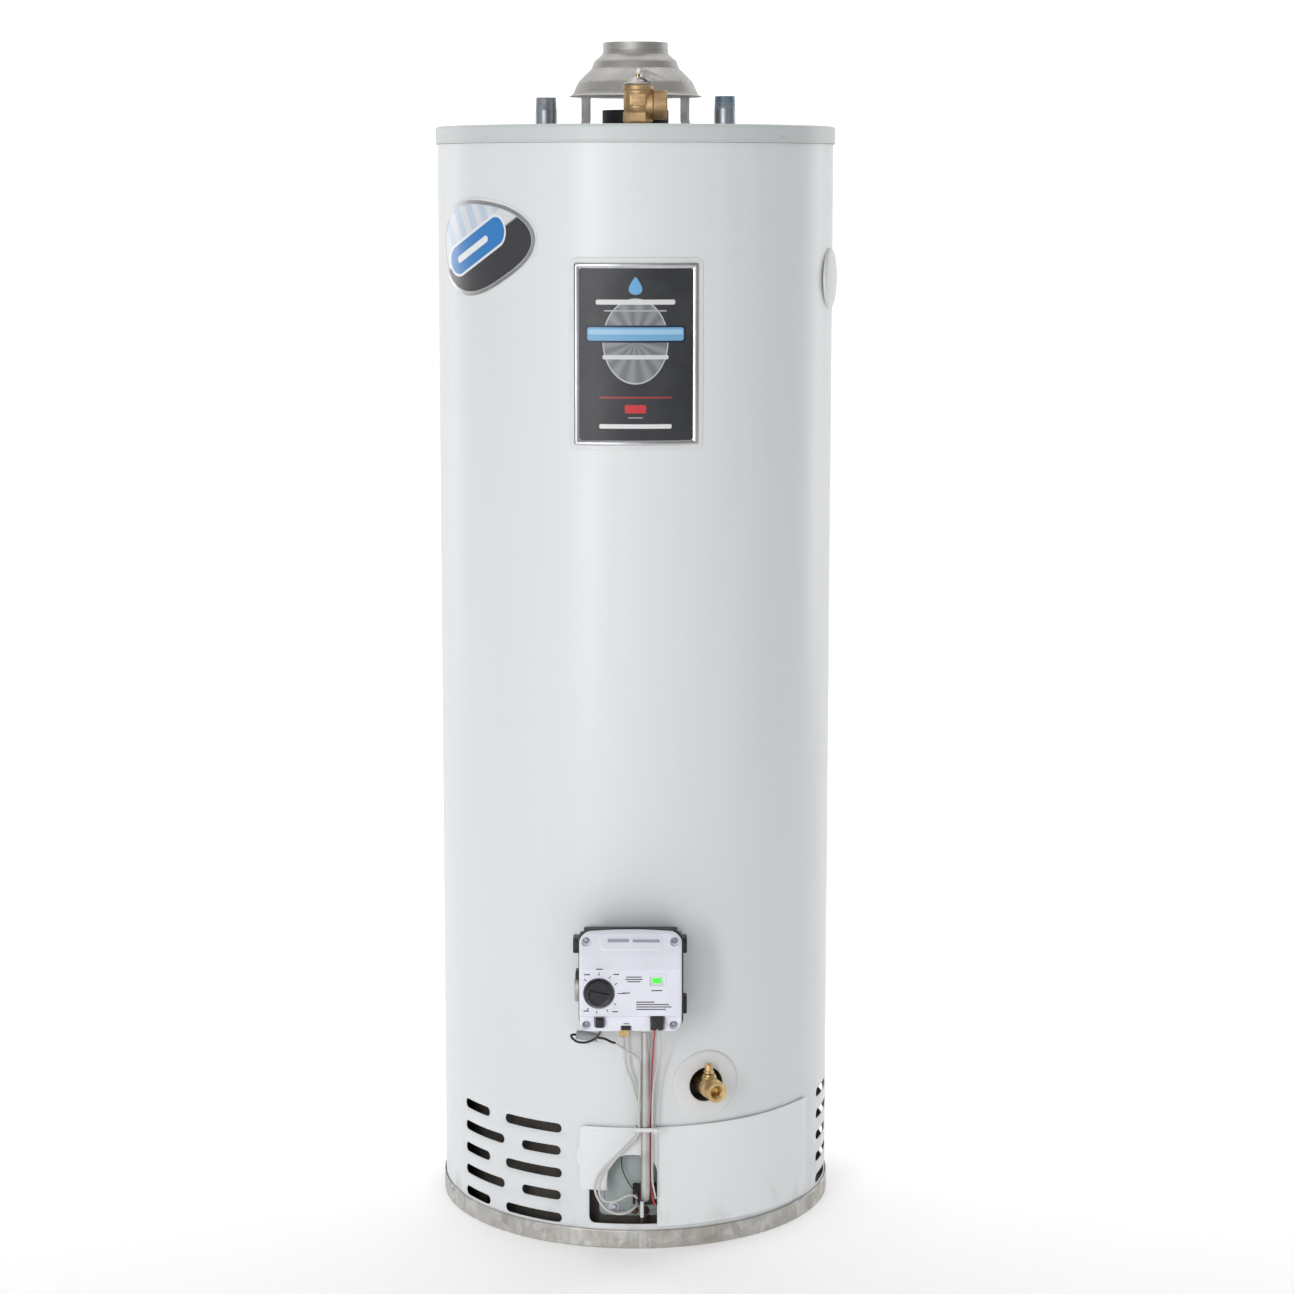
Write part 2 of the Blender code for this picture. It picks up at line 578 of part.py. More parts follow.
def make_control():
    middle = (CONTROL_LEFT + CONTROL_RIGHT) / 2
    outline = rounded([
        (CONTROL_LEFT + 0.0015, CONTROL_FOOT, 0.010), (CONTROL_RIGHT - 0.0015, CONTROL_FOOT, 0.010),
        (CONTROL_RIGHT, 0.4245, 0.012), (middle, CONTROL_HEAD + 0.0006, 0.200),
        (CONTROL_LEFT, 0.4245, 0.012),
    ])
    cover = plate("control_cover", [outline], 0.080, "control_plastic", location=(0, -0.320, 0))
    side = [Vector(point) for point in cover_front()]
    side += [Vector((-0.2850, CONTROL_HEAD + 0.001)), Vector((-0.2850, CONTROL_FOOT))]
    profile = plate("cover_profile", [side], 0.20, rotation=(90, 0, 90))
    boolean(cover, profile, "INTERSECT")
    pocket_low = (CONTROL_LEFT + 0.0024, -0.3165, CONTROL_FOOT + 0.0024)
    pocket_high = (CONTROL_RIGHT - 0.0024, -0.2800, CONTROL_HEAD - 0.0080)
    boolean(cover, block("cover_pocket", pocket_low, pocket_high))

    boolean(cover, place(rod("inlet_clearance", 0.0186, 0.055, 0.080),
                         (0, INLET_Y, INLET_Z), (0, -90, 0)))
    boolean(cover, place(rod("knob_recess", KNOB_R + 0.0010, 0.3365 - KNOB_SINK, 0.3450, sides=32),
                         (KNOB_X, 0, KNOB_Z), (90, 0, 0)))
    boolean(cover, place(rod("stem_hole", 0.0046, 0.30, 0.35), (KNOB_X, 0, KNOB_Z), (90, 0, 0)))
    half = BUTTON_SIDE / 2 + 0.0004
    boolean(cover, block("button_hole", (BUTTON_X - half, -0.345, BUTTON_Z - half),
                         (BUTTON_X + half, -0.300, BUTTON_Z + half)))
    boolean(cover, block("status_pocket", (0.0165, -0.345, 0.3632), (0.0357, -0.3325, 0.3778)))
    boolean(cover, block("com_notch", (-0.0180, -0.345, 0.2990), (-0.0052, -0.3140, 0.3102)))
    boolean(cover, block("plug_notch", (0.0185, -0.345, 0.3095), (0.0363, -0.3180, 0.3252)))
    for x, z in SCREWS:
        depth = 0.3190 if z > 0.36 else 0.3170
        boolean(cover, place(rod("screw_pocket", 0.0048, depth, 0.345, sides=16),
                             (x, 0, z), (90, 0, 0)))

    body = block("control_body", (-0.0650, -0.3150, 0.3060), (0.0530, CONTROL_BACK, 0.4190),
                 "black_plastic", 0.002)
    for low, high in (
        ((-0.0748, -0.2830, 0.3926), (-0.0600, -0.2650, 0.4110)),
        ((0.0500, -0.2830, 0.3910), (0.0638, -0.2650, 0.4110)),
        ((0.0500, -0.2830, 0.3140), (0.0638, -0.2650, 0.3360)),
        ((-0.0700, -0.2845, 0.3010), (0.0580, -0.2650, 0.4240)),
    ):
        boolean(body, block("body_lug", low, high), "UNION")
    boolean(body, place(rod("stem_bore", 0.0046, 0.3050, 0.3200), (KNOB_X, 0, KNOB_Z), (90, 0, 0)))
    boolean(body, block("button_space", (BUTTON_X - 0.006, -0.320, BUTTON_Z - 0.006),
                        (BUTTON_X + 0.006, -0.3030, BUTTON_Z + 0.006)))
    boolean(body, place(rod("inlet_hole", 0.0186, 0.0500, 0.080), (0, INLET_Y, INLET_Z), (0, -90, 0)))
    place(turned("gas_inlet", [
        (0.0180, 0.0752), (0.0180, 0.0503), (0.0093, 0.0503), (0.0093, 0.0752),
    ], "aluminium"), (0, INLET_Y, INLET_Z), (0, -90, 0))

    make_dial()
    make_control_fittings()


def make_dial():
    """The push-in stem and its knob, on the dial's own axis."""
    axis = (KNOB_X, 0, KNOB_Z)
    tip = -CONTROL_FRONT + 0.0020
    place(rod("dial_stem", 0.0042, 0.3100, tip, "stainless", 16), axis, (90, 0, 0))
    back = -CONTROL_FRONT - KNOB_SINK + 0.0050 + GAP
    knob = place(disc_stack("dial_knob", [
        (KNOB_R - 0.0038, back + 0.0125), (KNOB_R - 0.0030, back + 0.0118),
        (KNOB_R - 0.0010, back + 0.0030), (KNOB_R, back + 0.0022), (KNOB_R, back),
    ], "black_plastic", 32), axis, (90, 0, 0))
    pointer = block("pointer_ridge", (KNOB_X - 0.0040, -back - 0.0142, KNOB_Z - 0.0014),
                    (KNOB_X + 0.0135, -back - 0.0100, KNOB_Z + 0.0014))
    boolean(knob, pointer, "UNION")
    boolean(knob, place(rod("knob_bore", 0.0045, 0.30, tip + GAP), axis, (90, 0, 0)))

    half = BUTTON_SIDE / 2
    block("igniter_button", (BUTTON_X - half, -0.3320, BUTTON_Z - half),
          (BUTTON_X + half, -0.3110, BUTTON_Z + half), "black_plastic", 0.0008)


def make_control_fittings():
    block("status_lens", (0.0205, -0.3350, 0.3668), (0.0317, -0.3328, 0.3742), "green_lens", 0.0007)
    block("com_socket", (-0.0176, -0.3225, 0.2998), (-0.0056, -0.3154, 0.3096), "black_plastic", 0.0006)
    block("lead_connector", (0.0190, -0.3330, 0.3100), (0.0340, -0.3184, 0.3247), "black_plastic", 0.0006)
    for i, (x, z) in enumerate(SCREWS):
        back = 0.3193 if z > 0.36 else 0.3173
        place(disc_stack(f"cover_screw_{i + 1}", [(0.0022, back + 0.0024), (0.0034, back + 0.0012),
                                                  (0.0034, back)], "zinc", 12), (x, 0, z), (90, 0, 0))
    place(disc_stack("thermowell", [
        (0.0122, 0.2597), (0.0122, 0.2150), (0.0060, 0.2130), (0.0060, 0.1050),
    ], "brass", 16), (WELL_X, 0, WELL_Z), (90, 0, 0))
    place(turned("feed_nut", [
        (0.0092, 0.3003), (0.0108, 0.2990), (0.0108, 0.2885), (0.0092, 0.2870),
        (0.0071, 0.2870), (0.0071, 0.3003),
    ], "stainless", sides=6), (FEED_X, FEED_Y, 0))
    block("pilot_fitting", (-0.0212, -0.2760, 0.2830), (-0.0092, -0.2650, 0.3004), "brass", 0.0008)


# ---------------------------------------------------------------- tubes and leads

def make_lines():
    def entry(name):
        x, z, _ = ENTRIES[name]
        return [(x, y, z) for y in (-0.2490, -0.2430, -0.2220, -0.2160)]

    def upright(x, top):
        return [(x, PILOT_Y, top - drop) for drop in (0.0100, 0.0050, 0)]

    bend = 0.018
    elbow = [
        (FEED_X, FEED_Y + bend * (1 - math.cos(turn)), FEED_ENTRY_Z + bend * (1 - math.sin(turn)))
        for turn in (math.pi / 2 * i / 3 for i in range(3))
    ]
    line("feed_tube", [
        (FEED_X, FEED_Y, 0.2990), (FEED_X, FEED_Y, 0.230), (FEED_X, FEED_Y, 0.160),
        (FEED_X, FEED_Y, 0.1050), *elbow,
        *entry("feed_tube"), (0.0122, -0.185, 0.0600), (0.0115, -0.150, 0.0470),
        (0.0060, -0.080, 0.0405), (0, -0.030, 0.0400), (0, -0.0090, 0.0400),
    ], FEED_R, "aluminium", 0.014)
    line("pilot_tube", [
        (-0.0155, -0.2700, 0.2826), (-0.0120, -0.2680, 0.2440), (-0.0056, -0.2665, 0.2250),
        (0.0006, -0.2655, 0.2035), (0.0040, -0.2650, 0.1870), (0.0042, -0.2650, 0.1620),
        (-0.0020, -0.2655, 0.1490), (-0.0230, -0.2660, 0.1265), (-0.0430, -0.2650, 0.1050),
        (-0.0510, -0.2645, 0.0860), (-0.0466, -0.2655, 0.0690), (-0.0354, -0.2680, 0.0557),
        (-0.0205, -0.2690, 0.0510), (-0.0080, -0.2650, 0.0530), (0.0000, -0.2570, 0.0565),
        *entry("pilot_tube"), (-0.0030, -0.170, 0.0560), (0, -0.1260, 0.0480),
        *upright(0, 0.0592),
    ], 0.0016, "aluminium", 0.012)
    line("igniter_lead", [
        (-0.0238, -0.2760, 0.2738), (-0.0180, -0.2760, 0.2690), (-0.0080, -0.2750, 0.2620),
        (0.0010, -0.2730, 0.2558), (0.0050, -0.2715, 0.2430), (0.0043, -0.2715, 0.1927),
        (0.0043, -0.2715, 0.1620), (0.0000, -0.2715, 0.1510), (-0.0168, -0.2720, 0.1334),
        (-0.0342, -0.2720, 0.1106), (-0.0446, -0.2720, 0.0917), (-0.0446, -0.2720, 0.0765),
        (-0.0360, -0.2720, 0.0680), (-0.0230, -0.2710, 0.0690), (-0.0100, -0.2690, 0.0750),
        (-0.0015, -0.2640, 0.0730), (0.0015, -0.2560, 0.0670),
        *entry("igniter_lead"), (-0.0090, -0.175, 0.0560), (-0.0120, -0.1280, 0.0460),
        *upright(ELECTRODE_X, 0.0543),
    ], 0.0014, "white_plastic", 0.012)
    line("thermopile_lead_red", [
        (0.0233, -0.3270, 0.3096), (0.0233, -0.3230, 0.2980), (0.0228, -0.2960, 0.2840),
        (0.0218, -0.2740, 0.2600), (0.0204, -0.2700, 0.2350), (0.0200, -0.2690, 0.2066),
        (0.0196, -0.2650, 0.1850), (0.0190, -0.2635, 0.1600), (0.0190, -0.2635, 0.1100),
        (0.0195, -0.2640, 0.0900), (0.0205, -0.2650, 0.0740), (0.0240, -0.2640, 0.0620),
        (0.0250, -0.2560, 0.0575), *entry("thermopile_lead_red"), (0.0215, -0.180, 0.0530),
        (0.0190, -0.1280, 0.0410), *upright(PROBE_X - 0.0015, 0.0497),
    ], 0.0011, "red_insulation", 0.012)
    line("thermopile_lead_white", [
        (0.0302, -0.3270, 0.3096), (0.0302, -0.3230, 0.2990), (0.0310, -0.2980, 0.2820),
        (0.0310, -0.2780, 0.2600), (0.0250, -0.2750, 0.2343), (0.0222, -0.2735, 0.2129),
        (0.0212, -0.2720, 0.1877), (0.0210, -0.2700, 0.1500), (0.0210, -0.2700, 0.1000),
        (0.0225, -0.2690, 0.0860), (0.0245, -0.2660, 0.0740), (0.0258, -0.2600, 0.0690),
        (0.0255, -0.2540, 0.0660), *entry("thermopile_lead_white"), (0.0250, -0.180, 0.0600),
        (0.0240, -0.1280, 0.0410), *upright(PROBE_X + 0.0015, 0.0497),
    ], 0.0011, "white_plastic", 0.012)
    line("igniter_wire_black", [
        (-0.0432, -0.3100, 0.3004), (-0.0445, -0.2980, 0.2930), (-0.0500, -0.2850, 0.2830),
        (-0.0600, -0.2790, 0.2765), (-0.0710, -0.2785, 0.2765), (-0.0775, -0.2770, 0.2800),
        (-0.0800, -0.2720, 0.2818), (-0.0800, -0.2670, 0.2820), (-0.0765, -0.2640, 0.2818),
        (-0.0700, -0.2636, 0.2812), (-0.0600, -0.2636, 0.2797), (-0.0463, -0.2640, 0.2778),
        (-0.0383, -0.2665, 0.2770), (-0.0300, -0.2735, 0.2752), (-0.0250, -0.2758, 0.2745),
    ], 0.0014, "black_plastic", 0.007)
    core = [(-0.0740, -0.2636, 0.2817), (-0.0600, -0.2636, 0.2797), (-0.0470, -0.2639, 0.2779)]
    overrun = [(-0.0800, -0.2636, 0.2826), *core, (-0.0400, -0.2641, 0.2769)]
    sleeve = meshed(line("lead_sleeve", core, 0.0056, "aluminium", 0.009), "aluminium")
    boolean(sleeve, meshed(line("sleeve_bore", overrun, 0.0038, "aluminium", 0.009)))
    make_tie()


def make_tie():
    """A cable tie: an oval band that holds the tubes and leads to the feed tube."""
    low, high = 0.1600, 0.1645
    outer = rectangle(-0.0008, 0.0248, -0.2765, -0.2600, 0.0060)
    inner = rectangle(0.0004, 0.0236, -0.2753, -0.2612, 0.0050)
    tie = plate("cable_tie", [outer, inner], high - low, "white_plastic",
                rotation=(0, 0, 0), location=(0, 0, (low + high) / 2))
    boolean(tie, block("tie_head", (0.0222, -0.2800, low - 0.001), (0.0282, -0.2745, high + 0.001)),
            "UNION")


# ---------------------------------------------------------------- drain and relief valves

def make_drain_valve():
    body = turned("drain_valve_body", [
        (0.0133, 0.2925), (0.0137, 0.2910), (0.0137, 0.2790), (0.0105, 0.2785), (0.0105, 0.2750),
        (0.0130, 0.2745), (0.0130, 0.2500), (0.0108, 0.2490), (0.0108, 0.2130),
        (0.0056, 0.2130), (0.0056, 0.2925),
    ], "brass", sides=16)
    face_out(body, DRAIN_AZIMUTH, DRAIN_Z)
    at = polar(DRAIN_AZIMUTH, 0.2640, 0)
    bonnet = place(rod("drain_bonnet", 0.0076, DRAIN_Z + 0.004, DRAIN_Z + 0.0165, sides=16), at)
    boolean(body, bonnet, "UNION")
    boolean(body, face_out(rod("drain_bore", 0.0056, 0.20, 0.30, sides=16), DRAIN_AZIMUTH, DRAIN_Z))
    boolean(body, ball("drain_seat", at + Vector((0, 0, DRAIN_Z)), 0.0095))
    boolean(body, place(rod("drain_stem_bore", 0.0046, DRAIN_Z, DRAIN_Z + 0.03, sides=16), at))

    stop = ball("drain_ball", at + Vector((0, 0, DRAIN_Z)), 0.0088, "stainless")
    bore = rod("ball_bore", 0.0050, -0.02, 0.02, sides=12)
    boolean(stop, place(bore, at + Vector((0, 0, DRAIN_Z)), (90, 0, DRAIN_AZIMUTH + 90)))
    stem = turned("drain_stem", [
        (0, 0.0290), (0.0044, 0.0290), (0.0048, 0.0280), (0.0048, 0.0203), (0.0066, 0.0200),
        (0.0066, 0.0168), (0.0042, 0.0168), (0.0042, 0.0091), (0, 0.0091),
    ], "brass", closed=False, sides=16)
    place(stem, at + Vector((0, 0, DRAIN_Z)), (0, 0, DRAIN_AZIMUTH))
    boolean(stem, block("stem_slot", (-0.010, -0.0007, 0.0270), (0.010, 0.0007, 0.0310)))
    bpy.data.objects["stem_slot"].location = at + Vector((0, 0, DRAIN_Z + 0.0290))


def make_relief_valve():
    """A temperature and pressure relief valve, with its outlet to the right."""
    body = place(turned("relief_body", [
        (0.0185, 0.0240), (0.0192, 0.0230), (0.0192, -0.0050), (0.0165, -0.0080),
        (0.0172, -0.0120), (0.0172, -0.0200), (0.0150, -0.0240), (0.0108, -0.0250),
        (0.0108, -0.0950), (0.0072, -0.0950), (0.0072, -0.0100), (0.0142, -0.0060), (0.0142, 0.0240),
    ], "bronze", sides=20), (RELIEF_X, RELIEF_Y, RELIEF_Z))
    outlet = place(rod("relief_outlet", 0.0180, 0.005, 0.0365, sides=20),
                   (RELIEF_X, RELIEF_Y, RELIEF_Z), (0, 90, 0))
    boolean(body, outlet, "UNION")
    boolean(body, place(rod("outlet_bore", 0.0118, 0.004, 0.050, sides=16),
                        (RELIEF_X, RELIEF_Y, RELIEF_Z), (0, 90, 0)))
    boolean(body, place(rod("chamber_bore", 0.0142, -0.0060, 0.030, sides=20),
                        (RELIEF_X, RELIEF_Y, RELIEF_Z)))

    bonnet = place(turned("relief_bonnet", [
        (0.0045, 0.0345), (0.0060, 0.0337), (0.0130, 0.0282), (0.0180, 0.0262), (0.0180, 0.0243),
        (0.0140, 0.0243), (0.0138, 0.0200), (0.0120, 0.0200), (0.0110, 0.0250), (0.0026, 0.0310),
        (0.0026, 0.0345),
    ], "stainless", sides=20), (RELIEF_X, RELIEF_Y, RELIEF_Z))
    pin = (RELIEF_X + 0.0040, RELIEF_Y, RELIEF_Z + 0.0400)
    for side in (-1, 1):
        inner, outer = sorted((RELIEF_Y + side * 0.0034, RELIEF_Y + side * 0.0048))
        boolean(bonnet, block("lever_ear", (pin[0] - 0.0010, inner, RELIEF_Z + 0.0300),
                              (pin[0] + 0.0040, outer, RELIEF_Z + 0.0422)), "UNION")
    boolean(bonnet, place(rod("ear_hole", 0.0012, -0.01, 0.01, sides=8), pin, (90, 0, 0)))
    place(rod("relief_pin", 0.0008, -0.0064, 0.0064, "stainless", 8), pin, (90, 0, 0))

    lever = plate("relief_lever", [
        rounded([(-0.0055, -0.0028, 0.002), (0.0290, -0.0032, 0.002),
                 (0.0290, 0.0045, 0.003), (-0.0055, 0.0045, 0.003)]),
    ], 0.0128, "stainless", location=pin)
    channel = plate("lever_channel", [
        [Vector(p) for p in ((-0.010, -0.010), (0.0400, -0.010), (0.0400, 0.0033), (0.0045, 0.0033),
                             (0.0040, 0.0100), (-0.010, 0.0100))],
    ], 0.0104, location=pin)
    boolean(lever, channel)
    boolean(lever, place(rod("lever_pin_hole", 0.0011, -0.01, 0.01, sides=8), pin, (90, 0, 0)))
    for tilted in (lever, channel):
        tilted.rotation_euler.rotate_axis("Z", math.radians(-20))

    place(disc_stack("relief_stem", [
        (0.0030, 0.0392), (0.0030, 0.0362), (0.0020, 0.0360), (0.0020, -0.0020), (0.0100, -0.0022),
        (0.0100, -0.0052),
    ], "brass", 16), (RELIEF_X, RELIEF_Y, RELIEF_Z))
    coil_r, turns, per_turn = 0.0075, 4, 8
    coil = [
        (coil_r * math.cos(2 * math.pi * i / per_turn), coil_r * math.sin(2 * math.pi * i / per_turn),
         0.0180 * i / (turns * per_turn))
        for i in range(turns * per_turn + 1)
    ]
    spring = line("relief_spring", coil, 0.0009, "stainless", 0.0059)
    spring.data.bevel_resolution = 1
    spring.location = (RELIEF_X, RELIEF_Y, RELIEF_Z)


def make_hood():
    hood = hollow("draft_hood", [
        (0.0415, HOOD_TOP), (0.0415, 1.5000), (0.0435, 1.4960), (0.0540, 1.4870),
        (0.0562, 1.4780), (0.0670, 1.4690), (0.0750, 1.4590), (0.0810, 1.4460), (0.0850, 1.4437),
    ], 0.0008, "galvanised", 32)
    for azimuth in (-60, 60, 180):
        leg = wrapped("hood_leg", [
            rectangle(arc(azimuth, 0.0735) - 0.0095, arc(azimuth, 0.0735) + 0.0095, CAP_TOP + GAP, 1.4615),
        ], 0.0738, 0.0012, slice_angle=180)
        boolean(hood, leg, "UNION")


make_casing()
make_tank()
make_burner()
make_outer_door()
make_control()
make_lines()
make_drain_valve()
make_relief_valve()
make_hood()
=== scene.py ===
import math

import bpy
import numpy as np
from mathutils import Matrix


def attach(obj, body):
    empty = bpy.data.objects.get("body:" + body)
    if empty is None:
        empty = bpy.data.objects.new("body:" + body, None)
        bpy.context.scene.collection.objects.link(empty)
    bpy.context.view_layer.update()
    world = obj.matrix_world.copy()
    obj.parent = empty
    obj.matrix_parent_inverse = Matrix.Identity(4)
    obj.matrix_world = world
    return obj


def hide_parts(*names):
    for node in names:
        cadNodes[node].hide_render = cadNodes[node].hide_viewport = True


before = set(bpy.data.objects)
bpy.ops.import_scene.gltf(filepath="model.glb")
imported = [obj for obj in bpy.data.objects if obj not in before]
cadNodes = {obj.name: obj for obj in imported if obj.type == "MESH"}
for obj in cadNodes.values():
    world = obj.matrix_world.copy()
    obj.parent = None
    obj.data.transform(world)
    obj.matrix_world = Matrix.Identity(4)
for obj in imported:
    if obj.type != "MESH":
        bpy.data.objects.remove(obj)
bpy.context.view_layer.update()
scene = bpy.context.scene
fullTurn = 2 * math.pi


# shader building

class Val:
    # one socket of a node tree; arithmetic on it adds Math nodes
    def __init__(self, look, socket):
        self.look, self.socket = look, socket

    def math(self, operation, *others):
        inputs = {i + 1: other for i, other in enumerate(others)}
        return self.look.node("ShaderNodeMath", {"operation": operation}, {0: self, **inputs}).out(0)

    def flipped(self, operation, other):
        return self.look.node("ShaderNodeMath", {"operation": operation}, {0: other, 1: self}).out(0)

    def __add__(self, other): return self.math("ADD", other)
    def __sub__(self, other): return self.math("SUBTRACT", other)
    def __mul__(self, other): return self.math("MULTIPLY", other)
    def __truediv__(self, other): return self.math("DIVIDE", other)
    def __radd__(self, other): return self.math("ADD", other)
    def __rmul__(self, other): return self.math("MULTIPLY", other)
    def __rsub__(self, other): return self.flipped("SUBTRACT", other)
    def __neg__(self): return self.math("MULTIPLY", -1)
    def __lt__(self, other): return self.math("LESS_THAN", other)
    def __gt__(self, other): return self.math("GREATER_THAN", other)

    def step(self, low, high):
        # 0 below low, 1 above high, smooth between
        kind = {"interpolation_type": "SMOOTHSTEP", "clamp": True}
        return self.look.node("ShaderNodeMapRange", kind, {"Value": self, "From Min": low, "From Max": high}).out(0)


class Made:
    # a node that was just added; out gives one of its sockets
    def __init__(self, look, node):
        self.look, self.node = look, node

    def out(self, which=0):
        return Val(self.look, self.node.outputs[which])


class Look:
    # one procedural material around a Principled shader
    def __init__(self, name, **fixed):
        self.material = bpy.data.materials.new(name)
        self.material.use_nodes = True
        self.tree = self.material.node_tree
        self.shader = self.tree.nodes["Principled BSDF"]
        for socket, value in fixed.items():
            self.set(socket.replace("_", " "), value)

    def node(self, kind, settings=None, inputs=None):
        made = self.tree.nodes.new(kind)
        for key, value in (settings or {}).items():
            setattr(made, key, value)
        for key, value in (inputs or {}).items():
            self.feed(made.inputs[key], value)
        return Made(self, made)

    def feed(self, socket, value):
        if isinstance(value, Val):
            self.tree.links.new(value.socket, socket)
        elif isinstance(value, tuple) and len(value) == 3 and socket.type == "RGBA":
            socket.default_value = (*value, 1)
        else:
            socket.default_value = value

    def set(self, socket, value):
        self.feed(self.shader.inputs[socket], value)

    def place(self, scale=(1, 1, 1), shift=(0, 0, 0), turn=(0, 0, 0)):
        spot = self.node("ShaderNodeTexCoord").out("Object")
        settings = {"Vector": spot, "Scale": scale, "Location": shift, "Rotation": turn}
        return self.node("ShaderNodeMapping", {"vector_type": "POINT"}, settings).out(0)

    def axes(self):
        split = self.node("ShaderNodeSeparateXYZ", {}, {0: self.node("ShaderNodeTexCoord").out("Object")})
        return split.out(0), split.out(1), split.out(2)

    def noise(self, scale, detail=4, roughness=0.55, stretch=(1, 1, 1), distortion=0):
        inputs = {"Vector": self.place(stretch), "Scale": scale, "Detail": detail,
                  "Roughness": roughness, "Distortion": distortion}
        return self.node("ShaderNodeTexNoise", {}, inputs).out(0)

    def cells(self, scale, stretch=(1, 1, 1), feature="F1", output="Distance"):
        settings = {"Vector": self.place(stretch), "Scale": scale}
        return self.node("ShaderNodeTexVoronoi", {"feature": feature}, settings).out(output)

    def mix(self, factor, first, second):
        sockets = {0: factor, 6: first, 7: second}
        return self.node("ShaderNodeMix", {"data_type": "RGBA"}, sockets).out(2)

    def bump(self, height, strength=0.3, distance=0.001, over=None):
        inputs = {"Height": height, "Strength": strength, "Distance": distance}
        if over is not None:
            inputs["Normal"] = over
        return self.node("ShaderNodeBump", {}, inputs).out(0)


def boxFade(look, x, z, halfWidth, halfHeight, corner=0.001, edge=0.0004):
    # 1 inside a rounded box about the origin: its signed distance, softened
    dx = (x.math("ABSOLUTE") - (halfWidth - corner)).math("MAXIMUM", 0)
    dz = (z.math("ABSOLUTE") - (halfHeight - corner)).math("MAXIMUM", 0)
    distance = (dx * dx + dz * dz).math("SQRT") - corner
    return 1 - distance.step(-edge, edge)


def jacketLook(name, shade, gloss=0.36, coat=0.15):
    look = Look(name, Coat_Roughness=0.22, Specular_IOR_Level=0.45)
    x, y, z = look.axes()
    broad = look.noise(1.6, 3, 0.5, (1, 1, 0.5))
    streak = look.noise(34, 4, 0.5, (1, 1, 0.04))
    peel = look.noise(520, 2, 0.5)
    specks = look.cells(170)
    grime = (1 - z.step(0.012, 0.09)) * look.noise(26, 5, 0.6, (1, 1, 0.5)).step(0.50, 0.72)
    dust = 1 - specks.step(0.02, 0.06)
    warm = tuple(c * 0.965 for c in shade)
    colour = look.mix(broad.step(0.35, 0.65), shade, warm)
    colour = look.mix(streak.step(0.45, 0.75) * 0.22, colour, tuple(c * 0.93 for c in shade))
    colour = look.mix(grime * 0.45, colour, (0.42, 0.40, 0.37))
    colour = look.mix(dust * look.noise(40, 2).step(0.60, 0.72) * 0.25, colour, (0.46, 0.46, 0.45))
    look.set("Base Color", colour)
    look.set("Coat Weight", coat)
    look.set("Roughness", gloss + broad * 0.07 + streak * 0.04 + grime * 0.2)
    wave = look.noise(7, 2, 0.4)
    soft = look.bump(wave, 0.10, 0.004)
    look.set("Normal", look.bump(peel, 0.05, 0.0004, soft))
    return look.material


def metalLook(name, shade, dark, rough=0.3, grain=(1, 1, 0.03), grainScale=300, blotch=9,
              stain=0.3, bumpSize=0.12, metallic=1.0):
    # drawn or rolled metal: fine grain along one axis, cloudy tarnish, a few stains
    look = Look(name, Metallic=metallic)
    cloud = look.noise(blotch, 5, 0.6)
    fine = look.noise(grainScale, 3, 0.6, grain)
    spots = look.noise(blotch * 5, 4, 0.65).step(0.58, 0.76)
    colour = look.mix(cloud.step(0.32, 0.70), shade, dark)
    colour = look.mix(spots * stain, colour, tuple(c * 0.55 for c in dark))
    look.set("Base Color", look.mix(fine.step(0.3, 0.8) * 0.25, colour, dark))
    look.set("Roughness", rough + cloud * 0.14 + fine * 0.12 + spots * 0.12)
    look.set("Normal", look.bump(fine, bumpSize, 0.0005))
    return look.material


def castLook(name, shade, dark):
    # sand-cast bronze: pits and grit, darker hollows, rubbed high spots
    look = Look(name, Metallic=1.0)
    grit = look.noise(900, 4, 0.7)
    lump = look.noise(160, 4, 0.6)
    cloud = look.noise(38, 4, 0.6)
    pits = look.cells(620)
    colour = look.mix(cloud.step(0.34, 0.68), shade, dark)
    colour = look.mix((1 - pits.step(0.05, 0.35)) * 0.5, colour, tuple(c * 0.5 for c in dark))
    colour = look.mix(grit.step(0.52, 0.75) * 0.45, colour, (0.95, 0.76, 0.46))
    look.set("Base Color", colour)
    look.set("Roughness", 0.36 + grit * 0.22 + cloud * 0.1)
    rough = look.bump(lump, 0.5, 0.0007)
    look.set("Normal", look.bump(grit, 0.6, 0.0004, rough))
    return look.material


def plasticLook(name, shade, rough=0.42, tooth=900, toothDepth=0.12, tint=0.9, scuff=0.2):
    # moulded plastic: fine tooth, slow tone change, light scuffs
    look = Look(name, Specular_IOR_Level=0.45)
    cloud = look.noise(28, 3, 0.5)
    grain = look.noise(tooth, 2, 0.5)
    rub = look.noise(75, 5, 0.65, (1, 1, 0.35)).step(0.62, 0.75)
    colour = look.mix(cloud.step(0.35, 0.7), shade, tuple(c * tint for c in shade))
    worn = tuple(min(1, c * 1.25 + 0.03) for c in shade)
    look.set("Base Color", look.mix(rub * scuff, colour, worn))
    look.set("Roughness", rough + cloud * 0.08 + rub * 0.10)
    look.set("Normal", look.bump(grain, toothDepth, 0.0003))
    return look.material


